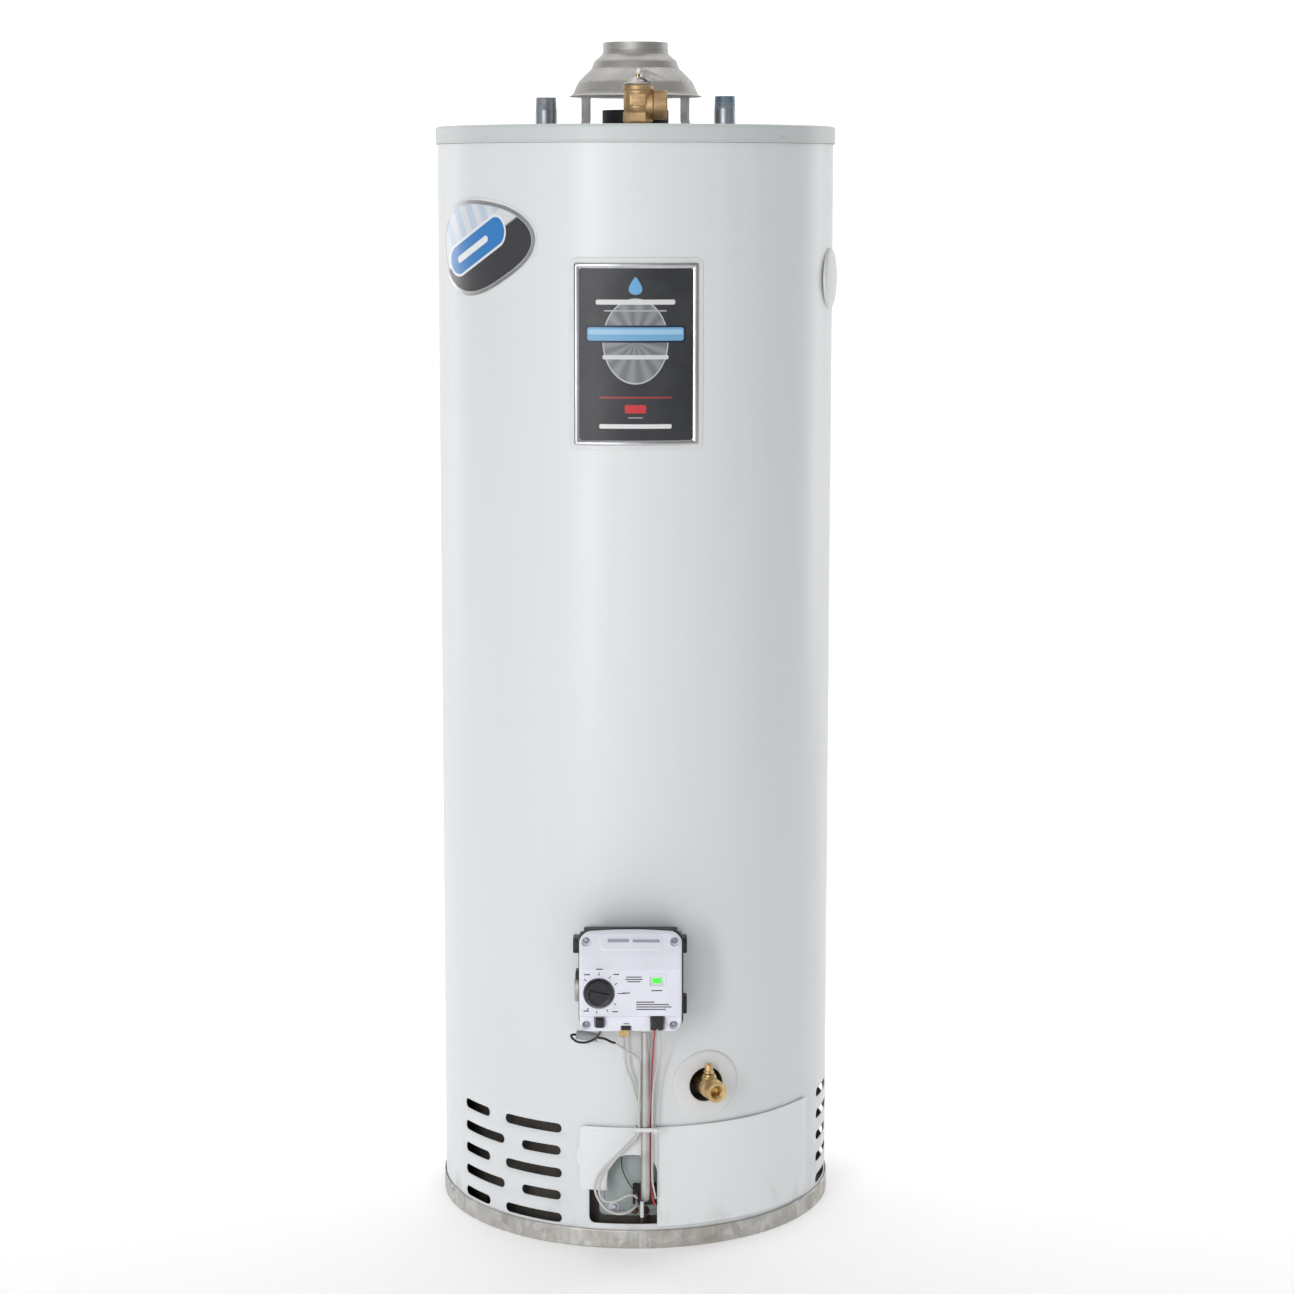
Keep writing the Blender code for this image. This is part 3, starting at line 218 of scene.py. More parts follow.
def galvanisedLook(name, shade, dark, stain):
    # zinc spangle: flat crystals of differing grey, with brown water stains
    look = Look(name, Metallic=0.85)
    crystal = look.cells(85, (1, 1, 1), "F1", "Color")
    grey = look.node("ShaderNodeSeparateColor", {}, {0: crystal}).out(0)
    cloud = look.noise(22, 6, 0.65)
    runs = look.noise(48, 5, 0.6, (1, 1, 0.25)).step(0.48, 0.70)
    colour = look.mix(grey * 0.7, shade, dark)
    colour = look.mix(cloud.step(0.42, 0.66) * stain, colour, (0.38, 0.345, 0.30))
    colour = look.mix(runs * stain * 0.7, colour, (0.60, 0.57, 0.50))
    look.set("Base Color", colour)
    look.set("Roughness", 0.40 + grey * 0.14 + cloud * 0.16)
    look.set("Normal", look.bump(cloud, 0.25, 0.0008))
    return look.material


def foamLook(name, shade):
    # rough skin of sprayed foam
    look = Look(name, Roughness=0.95)
    froth = look.cells(210)
    lump = look.noise(60, 5, 0.65)
    look.set("Base Color", look.mix(lump.step(0.3, 0.7), shade, tuple(c * 0.5 for c in shade)))
    look.set("Normal", look.bump(froth + lump * 0.7, 0.8, 0.002))
    return look.material


def nippleLook(name, bandShade):
    # plated pipe: soft upright bands and a coloured dip at the rim
    look = Look(name, Metallic=0.95)
    x, y, z = look.axes()
    bands = look.noise(150, 3, 0.5, (1, 1, 0.02))
    cloud = look.noise(90, 4, 0.6)
    rim = z.step(1.425, 1.440)
    colour = look.mix(bands.step(0.35, 0.68), (0.52, 0.56, 0.60), (0.23, 0.25, 0.28))
    colour = look.mix(cloud.step(0.55, 0.75) * 0.4, colour, (0.75, 0.77, 0.78))
    look.set("Base Color", look.mix(rim * 0.55, colour, bandShade))
    look.set("Roughness", 0.30 + cloud * 0.2)
    look.set("Normal", look.bump(cloud, 0.15, 0.0005))
    return look.material


def platePanelLook():
    # charcoal panel with a plain drop, bands and bars, drawn about the panel's middle
    look = Look("platePanel", Specular_IOR_Level=0.4)
    x, y, z = look.axes()
    high = z - 1.128
    grain = look.noise(420, 3, 0.5)
    cloud = look.noise(20, 3, 0.5)
    colour = look.mix(cloud.step(0.35, 0.7), (0.030, 0.032, 0.036), (0.044, 0.046, 0.050))
    spread = (high - 0.016) / 0.052
    oval = (x / 0.040).math("POWER", 2) + spread.math("POWER", 2)
    rays = ((x.math("ARCTAN2", high - 0.016) * 14).math("SINE") * 0.5 + 0.5) * 0.4
    colour = look.mix((1 - oval.step(0.93, 1.0)) * (0.55 + rays), colour, (0.30, 0.31, 0.33))
    colour = look.mix(1 - oval.math("SUBTRACT", 0.965).math("ABSOLUTE").step(0.02, 0.05), colour, (0.52, 0.53, 0.55))
    colour = look.mix(boxFade(look, x, high - 0.025, 0.061, 0.0105, 0.004), colour, (0.012, 0.020, 0.050))
    colour = look.mix(boxFade(look, x, high - 0.025, 0.0585, 0.0080, 0.003), colour, (0.19, 0.42, 0.66))
    colour = look.mix(boxFade(look, x, high - 0.0275, 0.0575, 0.0030, 0.002), colour, (0.36, 0.60, 0.80))
    dropWidth = x / (0.0075 - (high - 0.083) * 0.42)
    drop = dropWidth * dropWidth + ((high - 0.083) / 0.011).math("POWER", 2)
    colour = look.mix(1 - drop.step(0.85, 1.0), colour, (0.16, 0.42, 0.72))
    for centre, width, height, tint in (
        (0.0635, 0.0480, 0.0030, (0.72, 0.73, 0.74)), (0.0530, 0.0380, 0.0009, (0.42, 0.43, 0.45)),
        (-0.0030, 0.0400, 0.0026, (0.66, 0.67, 0.68)), (-0.0520, 0.0440, 0.0012, (0.32, 0.05, 0.05)),
        (-0.0660, 0.0130, 0.0050, (0.62, 0.04, 0.05)), (-0.0765, 0.0090, 0.0008, (0.35, 0.35, 0.36)),
        (-0.0870, 0.0440, 0.0027, (0.76, 0.77, 0.78)),
    ):
        colour = look.mix(boxFade(look, x, high - centre, width, height, min(0.002, height)), colour, tint)
    look.set("Base Color", colour)
    look.set("Roughness", 0.34 + grain * 0.10 + cloud * 0.05)
    look.set("Normal", look.bump(grain, 0.05, 0.0002))
    return look.material


def badgeLook(centreX, centreZ):
    # blue diagonal capsule on a pale and dark ground, drawn in the badge's own slanted axes
    look = Look("badgeFace", Coat_Weight=0.4, Coat_Roughness=0.2)
    x, y, z = look.axes()
    side, high = x - centreX, z - centreZ
    lean = math.radians(26)
    along = side * math.cos(lean) * 1.55 + high * math.sin(lean)
    across = high * math.cos(lean) - side * math.sin(lean) * 1.55
    grain = look.noise(300, 3, 0.5)
    colour = look.mix((across + 0.002).step(-0.002, 0.002), (0.035, 0.036, 0.042), (0.72, 0.75, 0.78))
    stripes = ((along * 260).math("SINE") * 0.5 + 0.5).step(0.45, 0.55)
    colour = look.mix((across - 0.020).step(0, 0.002) * stripes * 0.8, colour, (0.50, 0.62, 0.78))
    colour = look.mix(boxFade(look, along, across, 0.062, 0.0205, 0.020, 0.0006), colour, (0.86, 0.88, 0.90))
    colour = look.mix(boxFade(look, along, across, 0.059, 0.0175, 0.017, 0.0006), colour, (0.02, 0.21, 0.56))
    colour = look.mix(boxFade(look, along + 0.010, across, 0.034, 0.0042, 0.004, 0.0006), colour, (0.86, 0.88, 0.90))
    look.set("Base Color", look.mix(grain * 0.06, colour, (0.3, 0.3, 0.3)))
    look.set("Roughness", 0.30 + grain * 0.08)
    look.set("Normal", look.bump(grain, 0.04, 0.0002))
    return look.material


looks = {
    "jacket": jacketLook("jacketPaint", (0.775, 0.800, 0.815)),
    "cap": jacketLook("capPaint", (0.620, 0.655, 0.660), 0.40, 0.1),
    "door": jacketLook("doorPaint", (0.850, 0.875, 0.890)),
    "galvanised": galvanisedLook("galvanisedRing", (0.62, 0.61, 0.585), (0.46, 0.45, 0.43), 0.62),
    "hood": metalLook("hoodSteel", (0.58, 0.565, 0.545), (0.42, 0.41, 0.395), 0.43, (1, 1, 0.04), 260, 7, 0.15, 0.06),
    "leg": galvanisedLook("legSteel", (0.70, 0.69, 0.67), (0.48, 0.47, 0.46), 0.15),
    "tank": metalLook("tankSteel", (0.15, 0.135, 0.12), (0.07, 0.062, 0.055), 0.5, (1, 1, 0.2), 120, 12, 0.5, 0.3,
                      0.5),
    "innerDoor": metalLook("doorSteel", (0.44, 0.50, 0.50), (0.34, 0.38, 0.385), 0.45, (1, 0.3, 1), 200, 14, 0.25,
                           0.08, 0.35),
    "flue": metalLook("flueBlack", (0.018, 0.018, 0.018), (0.010, 0.010, 0.010), 0.55, (1, 1, 0.2), 120, 12, 0.3, 0.3,
                      0.2),
    "foam": foamLook("foam", (0.085, 0.062, 0.045)),
    "screw": metalLook("screwSteel", (0.55, 0.57, 0.60), (0.34, 0.36, 0.39), 0.28, (1, 1, 1), 500, 40, 0.3, 0.1),
    "rust": metalLook("rustedSteel", (0.16, 0.10, 0.06), (0.08, 0.05, 0.035), 0.6, (1, 1, 1), 400, 60, 0.5, 0.4, 0.4),
    "hot": nippleLook("hotPipe", (0.40, 0.41, 0.43)),
    "cold": nippleLook("coldPipe", (0.10, 0.20, 0.33)),
    "bronze": castLook("castBronze", (0.66, 0.46, 0.25), (0.42, 0.28, 0.145)),
    "brass": metalLook("brass", (0.78, 0.57, 0.30), (0.52, 0.35, 0.16), 0.24, (1, 1, 1), 420, 60, 0.5, 0.15),
    "stainless": metalLook("stainless", (0.66, 0.65, 0.62), (0.44, 0.43, 0.41), 0.26, (0.1, 1, 1), 420, 30, 0.2, 0.1),
    "tube": metalLook("feedTube", (0.60, 0.59, 0.575), (0.45, 0.445, 0.43), 0.34, (1, 1, 0.02), 500, 25, 0.2, 0.08),
    "cover": plasticLook("coverPlastic", (0.830, 0.838, 0.925), 0.40, 1100, 0.10, 0.95, 0.12),
    "ink": plasticLook("ink", (0.055, 0.055, 0.065), 0.5, 900, 0.02),
    "paleInk": plasticLook("paleInk", (0.33, 0.34, 0.42), 0.5, 900, 0.02),
    "black": plasticLook("blackPlastic", (0.018, 0.018, 0.022), 0.38, 1000, 0.10, 0.8, 0.10),
    "knob": plasticLook("knobPlastic", (0.020, 0.021, 0.026), 0.30, 1100, 0.12, 0.85, 0.15),
    "white": plasticLook("whitePlastic", (0.76, 0.77, 0.77), 0.36, 800, 0.06, 0.96, 0.05),
    "lead": plasticLook("whiteLead", (0.62, 0.61, 0.58), 0.40, 700, 0.10, 0.90, 0.05),
    "red": plasticLook("redLead", (0.52, 0.045, 0.065), 0.38, 700, 0.10, 0.85, 0.05),
    "sleeve": plasticLook("greySleeve", (0.36, 0.37, 0.38), 0.50, 500, 0.3, 0.8, 0.1),
    "rubber": plasticLook("rubber", (0.028, 0.026, 0.025), 0.7, 500, 0.25, 0.7, 0.1),
    "ceramic": plasticLook("ceramic", (0.72, 0.69, 0.64), 0.3, 300, 0.05),
    "frame": metalLook("plateFrame", (0.72, 0.73, 0.75), (0.42, 0.43, 0.45), 0.22, (1, 1, 0.02), 240, 6, 0.0, 0.04),
    "panel": platePanelLook(),
}


def glowLook():
    look = Look("greenGlow", Roughness=0.25)
    cells = look.cells(900)
    bright = look.mix(cells.step(0.1, 0.6), (0.16, 0.95, 0.10), (0.05, 0.70, 0.04))
    look.set("Base Color", bright)
    look.set("Emission Color", bright)
    look.set("Emission Strength", 0.5)
    return look.material


looks["glow"] = glowLook()
print("materials made:", len(looks))


# shape building


def rideOn(piece, body="heater", stands=()):
    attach(piece, body)
    if stands:
        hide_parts(*stands)
    return piece


def meshPiece(name, points, faces, look, sharp=38, body="heater", slot=None, stands=(), closed=True):
    # faces: list of index arrays; a closed shell that encloses a negative volume is turned outwards
    points = np.asarray(points, float).reshape(-1, 3)
    groups = [np.asarray(group, int) for group in faces if len(group)]
    if closed:
        volume = 0.0
        for group in groups:
            for k in range(1, group.shape[1] - 1):
                a, b, c = (points[group[:, i]] for i in (0, k, k + 1))
                volume += np.einsum("ij,ij->i", a, np.cross(b, c)).sum()
        if volume < 0:
            groups = [group[:, ::-1] for group in groups]
    mesh = bpy.data.meshes.new(name)
    mesh.from_pydata(points.tolist(), [], [face for group in groups for face in group.tolist()])
    mesh.validate()
    mesh.shade_smooth()
    if sharp:
        mesh.set_sharp_from_angle(angle=math.radians(sharp))
    mesh.materials.append(looks[look] if isinstance(look, str) else look)
    piece = bpy.data.objects.new(name, mesh)
    scene.collection.objects.link(piece)
    return rideOn(piece, body, stands)


def ringFaces(rows, columns, joinRows=False, start=0):
    # quads of a grid whose columns wrap round; joinRows also joins the last row to the first
    i = np.arange(rows if joinRows else rows - 1)[:, None]
    j = np.arange(columns)[None, :]
    k, m = (i + 1) % rows, (j + 1) % columns
    quads = np.stack([i * columns + j, i * columns + m, k * columns + m, k * columns + j], -1)
    return quads.reshape(-1, 4) + start


def shellPoints(rings, joinRows):
    # a stack of rings as one closed shell: joined end to end, or with a fan at each end
    rings = np.asarray(rings, float)
    rows, columns, _ = rings.shape
    faces = [ringFaces(rows, columns, joinRows)]
    points = rings.reshape(-1, 3)
    if not joinRows:
        ends = rings[[0, -1]].mean(axis=1)
        j = np.arange(columns)
        m = (j + 1) % columns
        foot = np.stack([m, j, np.full(columns, len(points))], -1)
        last = (rows - 1) * columns
        head = np.stack([last + j, last + m, np.full(columns, len(points) + 1)], -1)
        points = np.vstack([points, ends])
        faces.append(np.vstack([foot, head]))
    return points, faces


def joined(parts):
    # several (points, faces) shells as one
    allPoints, allFaces, start = [], {3: [], 4: []}, 0
    for points, faces in parts:
        solid = shellTurned(points, faces)
        allPoints.append(points)
        for group in solid:
            allFaces[group.shape[1]].append(group + start)
        start += len(points)
    return np.vstack(allPoints), [np.vstack(groups) for groups in allFaces.values() if groups]


def shellTurned(points, faces):
    volume = 0.0
    for group in faces:
        for k in range(1, group.shape[1] - 1):
            a, b, c = (points[group[:, i]] for i in (0, k, k + 1))
            volume += np.einsum("ij,ij->i", a, np.cross(b, c)).sum()
    return [group[:, ::-1] for group in faces] if volume < 0 else faces


def softCorners(corners, closed=False, steps=4):
    # a polyline of (a, b, radius): each corner becomes a short curve that is tangent to both sides
    corners = [(*c, 0.0)[:3] for c in corners]
    points, count = [], len(corners)
    for i, (a, b, radius) in enumerate(corners):
        here = np.array([a, b])
        if radius <= 0 or (not closed and i in (0, count - 1)):
            points.append(here[None])
            continue
        before, after = (np.array(corners[k % count][:2]) for k in (i - 1, i + 1))
        inward, outward = before - here, after - here
        lengths = np.linalg.norm(inward), np.linalg.norm(outward)
        cosine = np.clip(inward @ outward / (lengths[0] * lengths[1]), -1, 1)
        reach = min(radius / math.tan(math.acos(cosine) / 2), 0.48 * lengths[0], 0.48 * lengths[1])
        first, last = here + inward / lengths[0] * reach, here + outward / lengths[1] * reach
        t = np.linspace(0, 1, steps + 1)[:, None]
        points.append((1 - t) ** 2 * first + 2 * t * (1 - t) * here + t ** 2 * last)
    return np.vstack(points)


def basis(axis):
    # three unit vectors with the last along axis
    up = np.asarray(axis, float) / np.linalg.norm(axis)
    side = np.cross((0, 0, 1) if abs(up[2]) < 0.9 else (0, 1, 0), up)
    side /= np.linalg.norm(side)
    return side, np.cross(up, side), up


def latheRings(profile, origin=(0, 0, 0), axis=(0, 0, 1), sides=96, radiusOf=None, turn=0.0):
    # a profile of (radius, height) swept round an axis; radiusOf may alter each radius by angle and height
    profile = np.asarray(profile, float)
    angle = np.arange(sides) / sides * fullTurn + turn
    radius, height = (np.broadcast_to(profile[:, k, None], (len(profile), sides)) for k in (0, 1))
    if radiusOf:
        radius = radiusOf(radius, angle[None, :] + 0 * radius, height)
    side, other, up = basis(axis)
    return (np.asarray(origin) + (radius * np.cos(angle))[..., None] * side
            + (radius * np.sin(angle))[..., None] * other + height[..., None] * up)


def lathePart(corners, joinRows, steps, *where, **how):
    return shellPoints(latheRings(softCorners(corners, joinRows, steps), *where, **how), joinRows)


def lathe(name, corners, look, joinRows=False, steps=4, sharp=38, origin=(0, 0, 0), axis=(0, 0, 1),
          sides=96, radiusOf=None, turn=0.0, **wear):
    rings = latheRings(softCorners(corners, joinRows, steps), origin, axis, sides, radiusOf, turn)
    return meshPiece(name, *shellPoints(rings, joinRows), look, sharp, **wear)


def hexRadius(radius, angle, height):
    # flats of a six-sided nut whose corners reach the radius
    sector = np.mod(angle, math.pi / 3) - math.pi / 6
    return radius * math.cos(math.pi / 6) / np.cos(sector)


def smoothPath(points, spacing=0.004):
    # centripetal-like spline through the points: Catmull-Rom by spans, evenly respaced
    points = np.asarray(points, float)
    ends = np.vstack([2 * points[0] - points[1], points, 2 * points[-1] - points[-2]])
    a, b, c, d = ends[:-3], ends[1:-2], ends[2:-1], ends[3:]
    t = np.linspace(0, 1, 12, endpoint=False)[:, None, None]
    curve = 0.5 * (2 * b + (c - a) * t + (2 * a - 5 * b + 4 * c - d) * t ** 2 + (3 * b - a - 3 * c + d) * t ** 3)
    curve = np.vstack([curve.transpose(1, 0, 2).reshape(-1, 3), points[-1:]])
    run = np.concatenate([[0], np.cumsum(np.linalg.norm(np.diff(curve, axis=0), axis=1))])
    even = np.linspace(0, run[-1], max(8, int(run[-1] / spacing)))
    return np.stack([np.interp(even, run, curve[:, k]) for k in range(3)], -1)


def tubeRings(path, radius, sides=16):
    # circles square to the path, each frame carried on from the last so that the tube doesn't twist
    tangent = np.gradient(path, axis=0)
    tangent /= np.linalg.norm(tangent, axis=1)[:, None]
    side = np.empty_like(path)
    side[0] = basis(tangent[0])[0]
    for i in range(1, len(path)):
        carried = side[i - 1] - tangent[i] * (side[i - 1] @ tangent[i])
        side[i] = carried / np.linalg.norm(carried)
    other = np.cross(tangent, side)
    angle = np.arange(sides) / sides * fullTurn
    radius = np.broadcast_to(np.asarray(radius, float), (len(path),))[:, None, None]
    return (path[:, None] + radius * (np.cos(angle)[:, None] * side[:, None]
                                      + np.sin(angle)[:, None] * other[:, None]))


def tube(name, points, radius, look, sides=16, spacing=0.004, **wear):
    path = smoothPath(points, spacing)
    return meshPiece(name, *shellPoints(tubeRings(path, radius, sides), False), look, 50, **wear)


def onJacket(across, height, lift, radius):
    # a flat (arc length, height) drawing bent round the heater, lifted off it by lift
    turn = across / radius
    return np.stack(np.broadcast_arrays((radius + lift) * np.sin(turn),
                                        -(radius + lift) * np.cos(turn), height), -1)


def roundedLoop(width, height, corner, steps=10, count=0):
    # outline of a rounded rectangle about the origin, evenly respaced when count is given
    w, h = width / 2, height / 2
    loop = softCorners([(-w, -h, corner), (w, -h, corner), (w, h, corner), (-w, h, corner)], True, steps)
    return respaced(loop, count) if count else loop


def respaced(loop, count):
    ring = np.vstack([loop, loop[:1]])
    run = np.concatenate([[0], np.cumsum(np.linalg.norm(np.diff(ring, axis=0), axis=1))])
    even = np.linspace(0, run[-1], count, endpoint=False)
    return np.stack([np.interp(even, run, ring[:, k]) for k in range(2)], -1)


def insetLoop(loop, distance):
    # the outline moved inwards along its own normals; a counter-clockwise loop is assumed
    ahead = np.roll(loop, -1, 0) - np.roll(loop, 1, 0)
    normal = np.stack([-ahead[:, 1], ahead[:, 0]], -1)
    return loop + distance * normal / np.linalg.norm(normal, axis=1)[:, None]


def curvedPlate(name, loop, centre, profile, radius, look, bulge=None, **wear):
    # rings of (inset, lift) bent round the heater, then rings drawn in to the middle
    rings = [(insetLoop(loop, inset), lift) for inset, lift in profile]
    last, lift = rings[-1]
    rings += [(last * scale, lift) for scale in np.linspace(1, 0.06, 16)[1:]]
    grid = np.array([onJacket(ring[:, 0] + centre[0], ring[:, 1] + centre[1],
                              lift + (bulge(ring) if bulge else 0), radius) for ring, lift in rings])
    return meshPiece(name, *shellPoints(grid, False), look, 30, **wear)


def curvedFrame(name, loop, centre, profile, radius, look, **wear):
    # a closed rim: rings of (inset, lift) joined end to end
    grid = np.array([onJacket(ring[:, 0] + centre[0], ring[:, 1] + centre[1], lift, radius)
                     for ring, lift in ((insetLoop(loop, inset), lift) for inset, lift in profile)])
    return meshPiece(name, *shellPoints(grid, True), look, 30, **wear)


def roundBox(low, high, corner=0.0008, steps=3):
    # a box with rounded edges: rings of a rounded rectangle, drawn in at both ends
    low, high = np.minimum(low, high), np.maximum(low, high)
    middle, size = (low + high) / 2, high - low
    corner = min(corner, 0.45 * size.min())
    angles = np.linspace(0, math.pi / 2, steps + 1)
    loop = roundedLoop(size[0], size[2], corner, 4)
    ends = [(corner * (1 - math.sin(a)), -size[1] / 2 + corner * (1 - math.cos(a))) for a in angles]
    rows = ends + [(inset, -y) for inset, y in ends[::-1]]
    rings = []
    for inset, y in rows:
        ring = insetLoop(loop, inset * 0.98)
        rings.append(np.stack([ring[:, 0], np.full(len(ring), y), ring[:, 1]], -1))
    return shellPoints(np.array(rings) + middle, False)


def boxPiece(name, low, high, look, corner=0.0008, **wear):
    return meshPiece(name, *roundBox(np.array(low), np.array(high), corner), look, 40, **wear)


def turned(points, degrees, axis, pivot):
    # points turned about a line through pivot
    side, other, up = basis(axis)
    rest = np.asarray(points) - pivot
    angle = math.radians(degrees)
    a, b, c = rest @ side, rest @ other, rest @ up
    return (np.asarray(pivot) + (a * math.cos(angle) - b * math.sin(angle))[..., None] * side
            + (a * math.sin(angle) + b * math.cos(angle))[..., None] * other + c[..., None] * up)


# stage, lights and camera

studio = {"floorShade": (0.90, 0.90, 0.90), "wallBack": 3.0, "wallHigh": 5.0, "sweepRadius": 1.6,
          "paperGlow": 0.31, "worldShade": (1.0, 1.0, 1.0), "worldStrength": 0.30}


def makeStudio():
    # floor and wall: a straight run, a quarter turn and a rise, carried sideways
    bend = np.linspace(0, math.pi / 2, 24)
    back, radius = studio["wallBack"], studio["sweepRadius"]
    depth = np.concatenate([[-7.0], back - radius + radius * np.sin(bend), [back]])
    rise = np.concatenate([[0.0], radius - radius * np.cos(bend), [studio["wallHigh"]]])
    across = np.linspace(-7, 7, 15)
    grid = np.stack(np.broadcast_arrays(across[None, :], depth[:, None], rise[:, None]), -1)
    rows, columns = grid.shape[:2]
    i, j = np.meshgrid(np.arange(rows - 1), np.arange(columns - 1), indexing="ij")
    quads = np.stack([i * columns + j, i * columns + j + 1, (i + 1) * columns + j + 1, (i + 1) * columns + j], -1)
    mesh = bpy.data.meshes.new("studioSweep")
    mesh.from_pydata(grid.reshape(-1, 3).tolist(), [], quads.reshape(-1, 4).tolist())
    mesh.shade_smooth()
    look = Look("studioPaper", Roughness=0.9, Specular_IOR_Level=0.1)
    look.set("Base Color", studio["floorShade"])
    look.set("Emission Color", studio["floorShade"])
    look.set("Emission Strength", studio["paperGlow"])
    mesh.materials.append(look.material)
    sweep = bpy.data.objects.new("studioSweep", mesh)
    scene.collection.objects.link(sweep)

    world = bpy.data.worlds.new("studioWorld")
    world.use_nodes = True
    background = world.node_tree.nodes["Background"]
    background.inputs[0].default_value = (*studio["worldShade"], 1)
    background.inputs[1].default_value = studio["worldStrength"]
    scene.world = world
    scene.view_settings.view_transform = "Standard"


softboxes = {
    "keyFront": {"at": (-0.95, -4.7, 2.3), "aim": (0, 0, 0.8), "size": (1.5, 2.6), "power": 21},
    "keyStrip": {"at": (-2.0, -4.3, 1.0), "aim": (0, 0, 0.70), "size": (0.6, 3.0), "power": 76},
    "leftRim": {"at": (-2.8, 2.1, 1.1), "aim": (0, 0, 0.75), "size": (0.9, 3.2), "power": 13},
    "rightRim": {"at": (2.8, 2.1, 1.1), "aim": (0, 0, 0.75), "size": (0.9, 3.2), "power": 22},
    "topBox": {"at": (0.2, -0.6, 3.9), "aim": (0, 0, 0.9), "size": (2.6, 2.6), "power": 10},
    "wallWash": {"at": (0, 0.9, 3.8), "aim": (0, 3.0, 1.2), "size": (4.0, 1.2), "power": 50},
}


def aimed(obj, at, target):
    direction = np.array(target, float) - np.array(at, float)
    obj.location = at
    obj.rotation_euler = (math.atan2(np.hypot(direction[0], direction[1]), -direction[2]), 0,
                          math.atan2(direction[1], direction[0]) - math.pi / 2)


def makeLights():
    for name, box in softboxes.items():
        light = bpy.data.lights.new(name, "AREA")
        light.shape = "RECTANGLE"
        light.size, light.size_y = box["size"]
        light.energy = box["power"]
        lamp = bpy.data.objects.new(name, light)
        scene.collection.objects.link(lamp)
        aimed(lamp, box["at"], box["aim"])


view = {"at": (0.0, -3.802, 1.339), "lens": 81.4, "tilt": 82.15, "shiftX": 0.0089, "shiftY": -0.05}


def makeCamera():
    camera = bpy.data.cameras.new("camera")
    camera.lens = view["lens"]
    camera.sensor_width = 36
    camera.shift_x, camera.shift_y = view["shiftX"], view["shiftY"]
    holder = bpy.data.objects.new("camera", camera)
    holder.location = view["at"]
    holder.rotation_euler = (math.radians(view["tilt"]), 0, 0)
    scene.collection.objects.link(holder)
    scene.camera = holder


makeStudio()
makeLights()
makeCamera()
print("studio made")


# jacket

jacket = {
    "radius": 0.254, "wall": 0.0011, "foot": 0.0018, "top": 1.399, "lip": 0.0004,
    "slotHigh": 0.013, "rowPitch": 0.0294, "topRow": 0.151, "groups": (-60.2, 68.7, 160.5),
    "short": 12.8, "long": 18.9, "between": 6.4,
    "doorway": (-13.4, 36.0, 0.0316, 0.152, 0.008), "drainAt": (20.4, 0.210), "drainHole": 0.025,
}


def jacketCells():
    # (low azimuth, high azimuth, low z, high z) of each hole's own patch, then the hole itself
    cells = []
    gap, pitch, radius = jacket["between"] / 2, jacket["rowPitch"], jacket["slotHigh"] / 2
    for start in jacket["groups"]:
        for row in range(5):
            z = jacket["topRow"] - row * pitch
            first, second = ((jacket["short"], jacket["long"] + 0.6) if row % 2 == 0
                             else (jacket["long"], jacket["short"] + 0.3))
            middle, end = start + first + gap, start + 2 * jacket["long"] + 0.9 + gap
            cells.append((start - gap, middle, z - pitch / 2, z + pitch / 2,
                          (start, start + first, z - radius, z + radius, radius)))
            low = start + first + 2 * gap
            cells.append((middle, end, z - pitch / 2, z + pitch / 2,
                          (low, low + second, z - radius, z + radius, radius)))
    foot, head = jacket["topRow"] - 4.5 * pitch, jacket["topRow"] + 0.5 * pitch
    cells.append((-14.4, 37.0, foot, head, jacket["doorway"]))
    (azimuth, z), hole = jacket["drainAt"], jacket["drainHole"]
    half = math.degrees(hole / jacket["radius"])
    cells.append((azimuth - 8, azimuth + 8, z - 0.030, z + 0.030,
                  (azimuth - half, azimuth + half, z - hole, z + hole, hole)))
    return cells


def spreadLines(marks, step):
    # marks kept, with even lines no further apart than step between them
    marks = np.unique(np.round(marks, 9))
    runs = [np.linspace(a, b, max(1, math.ceil((b - a) / step)), endpoint=False)
            for a, b in zip(marks, marks[1:])]
    return np.concatenate(runs)


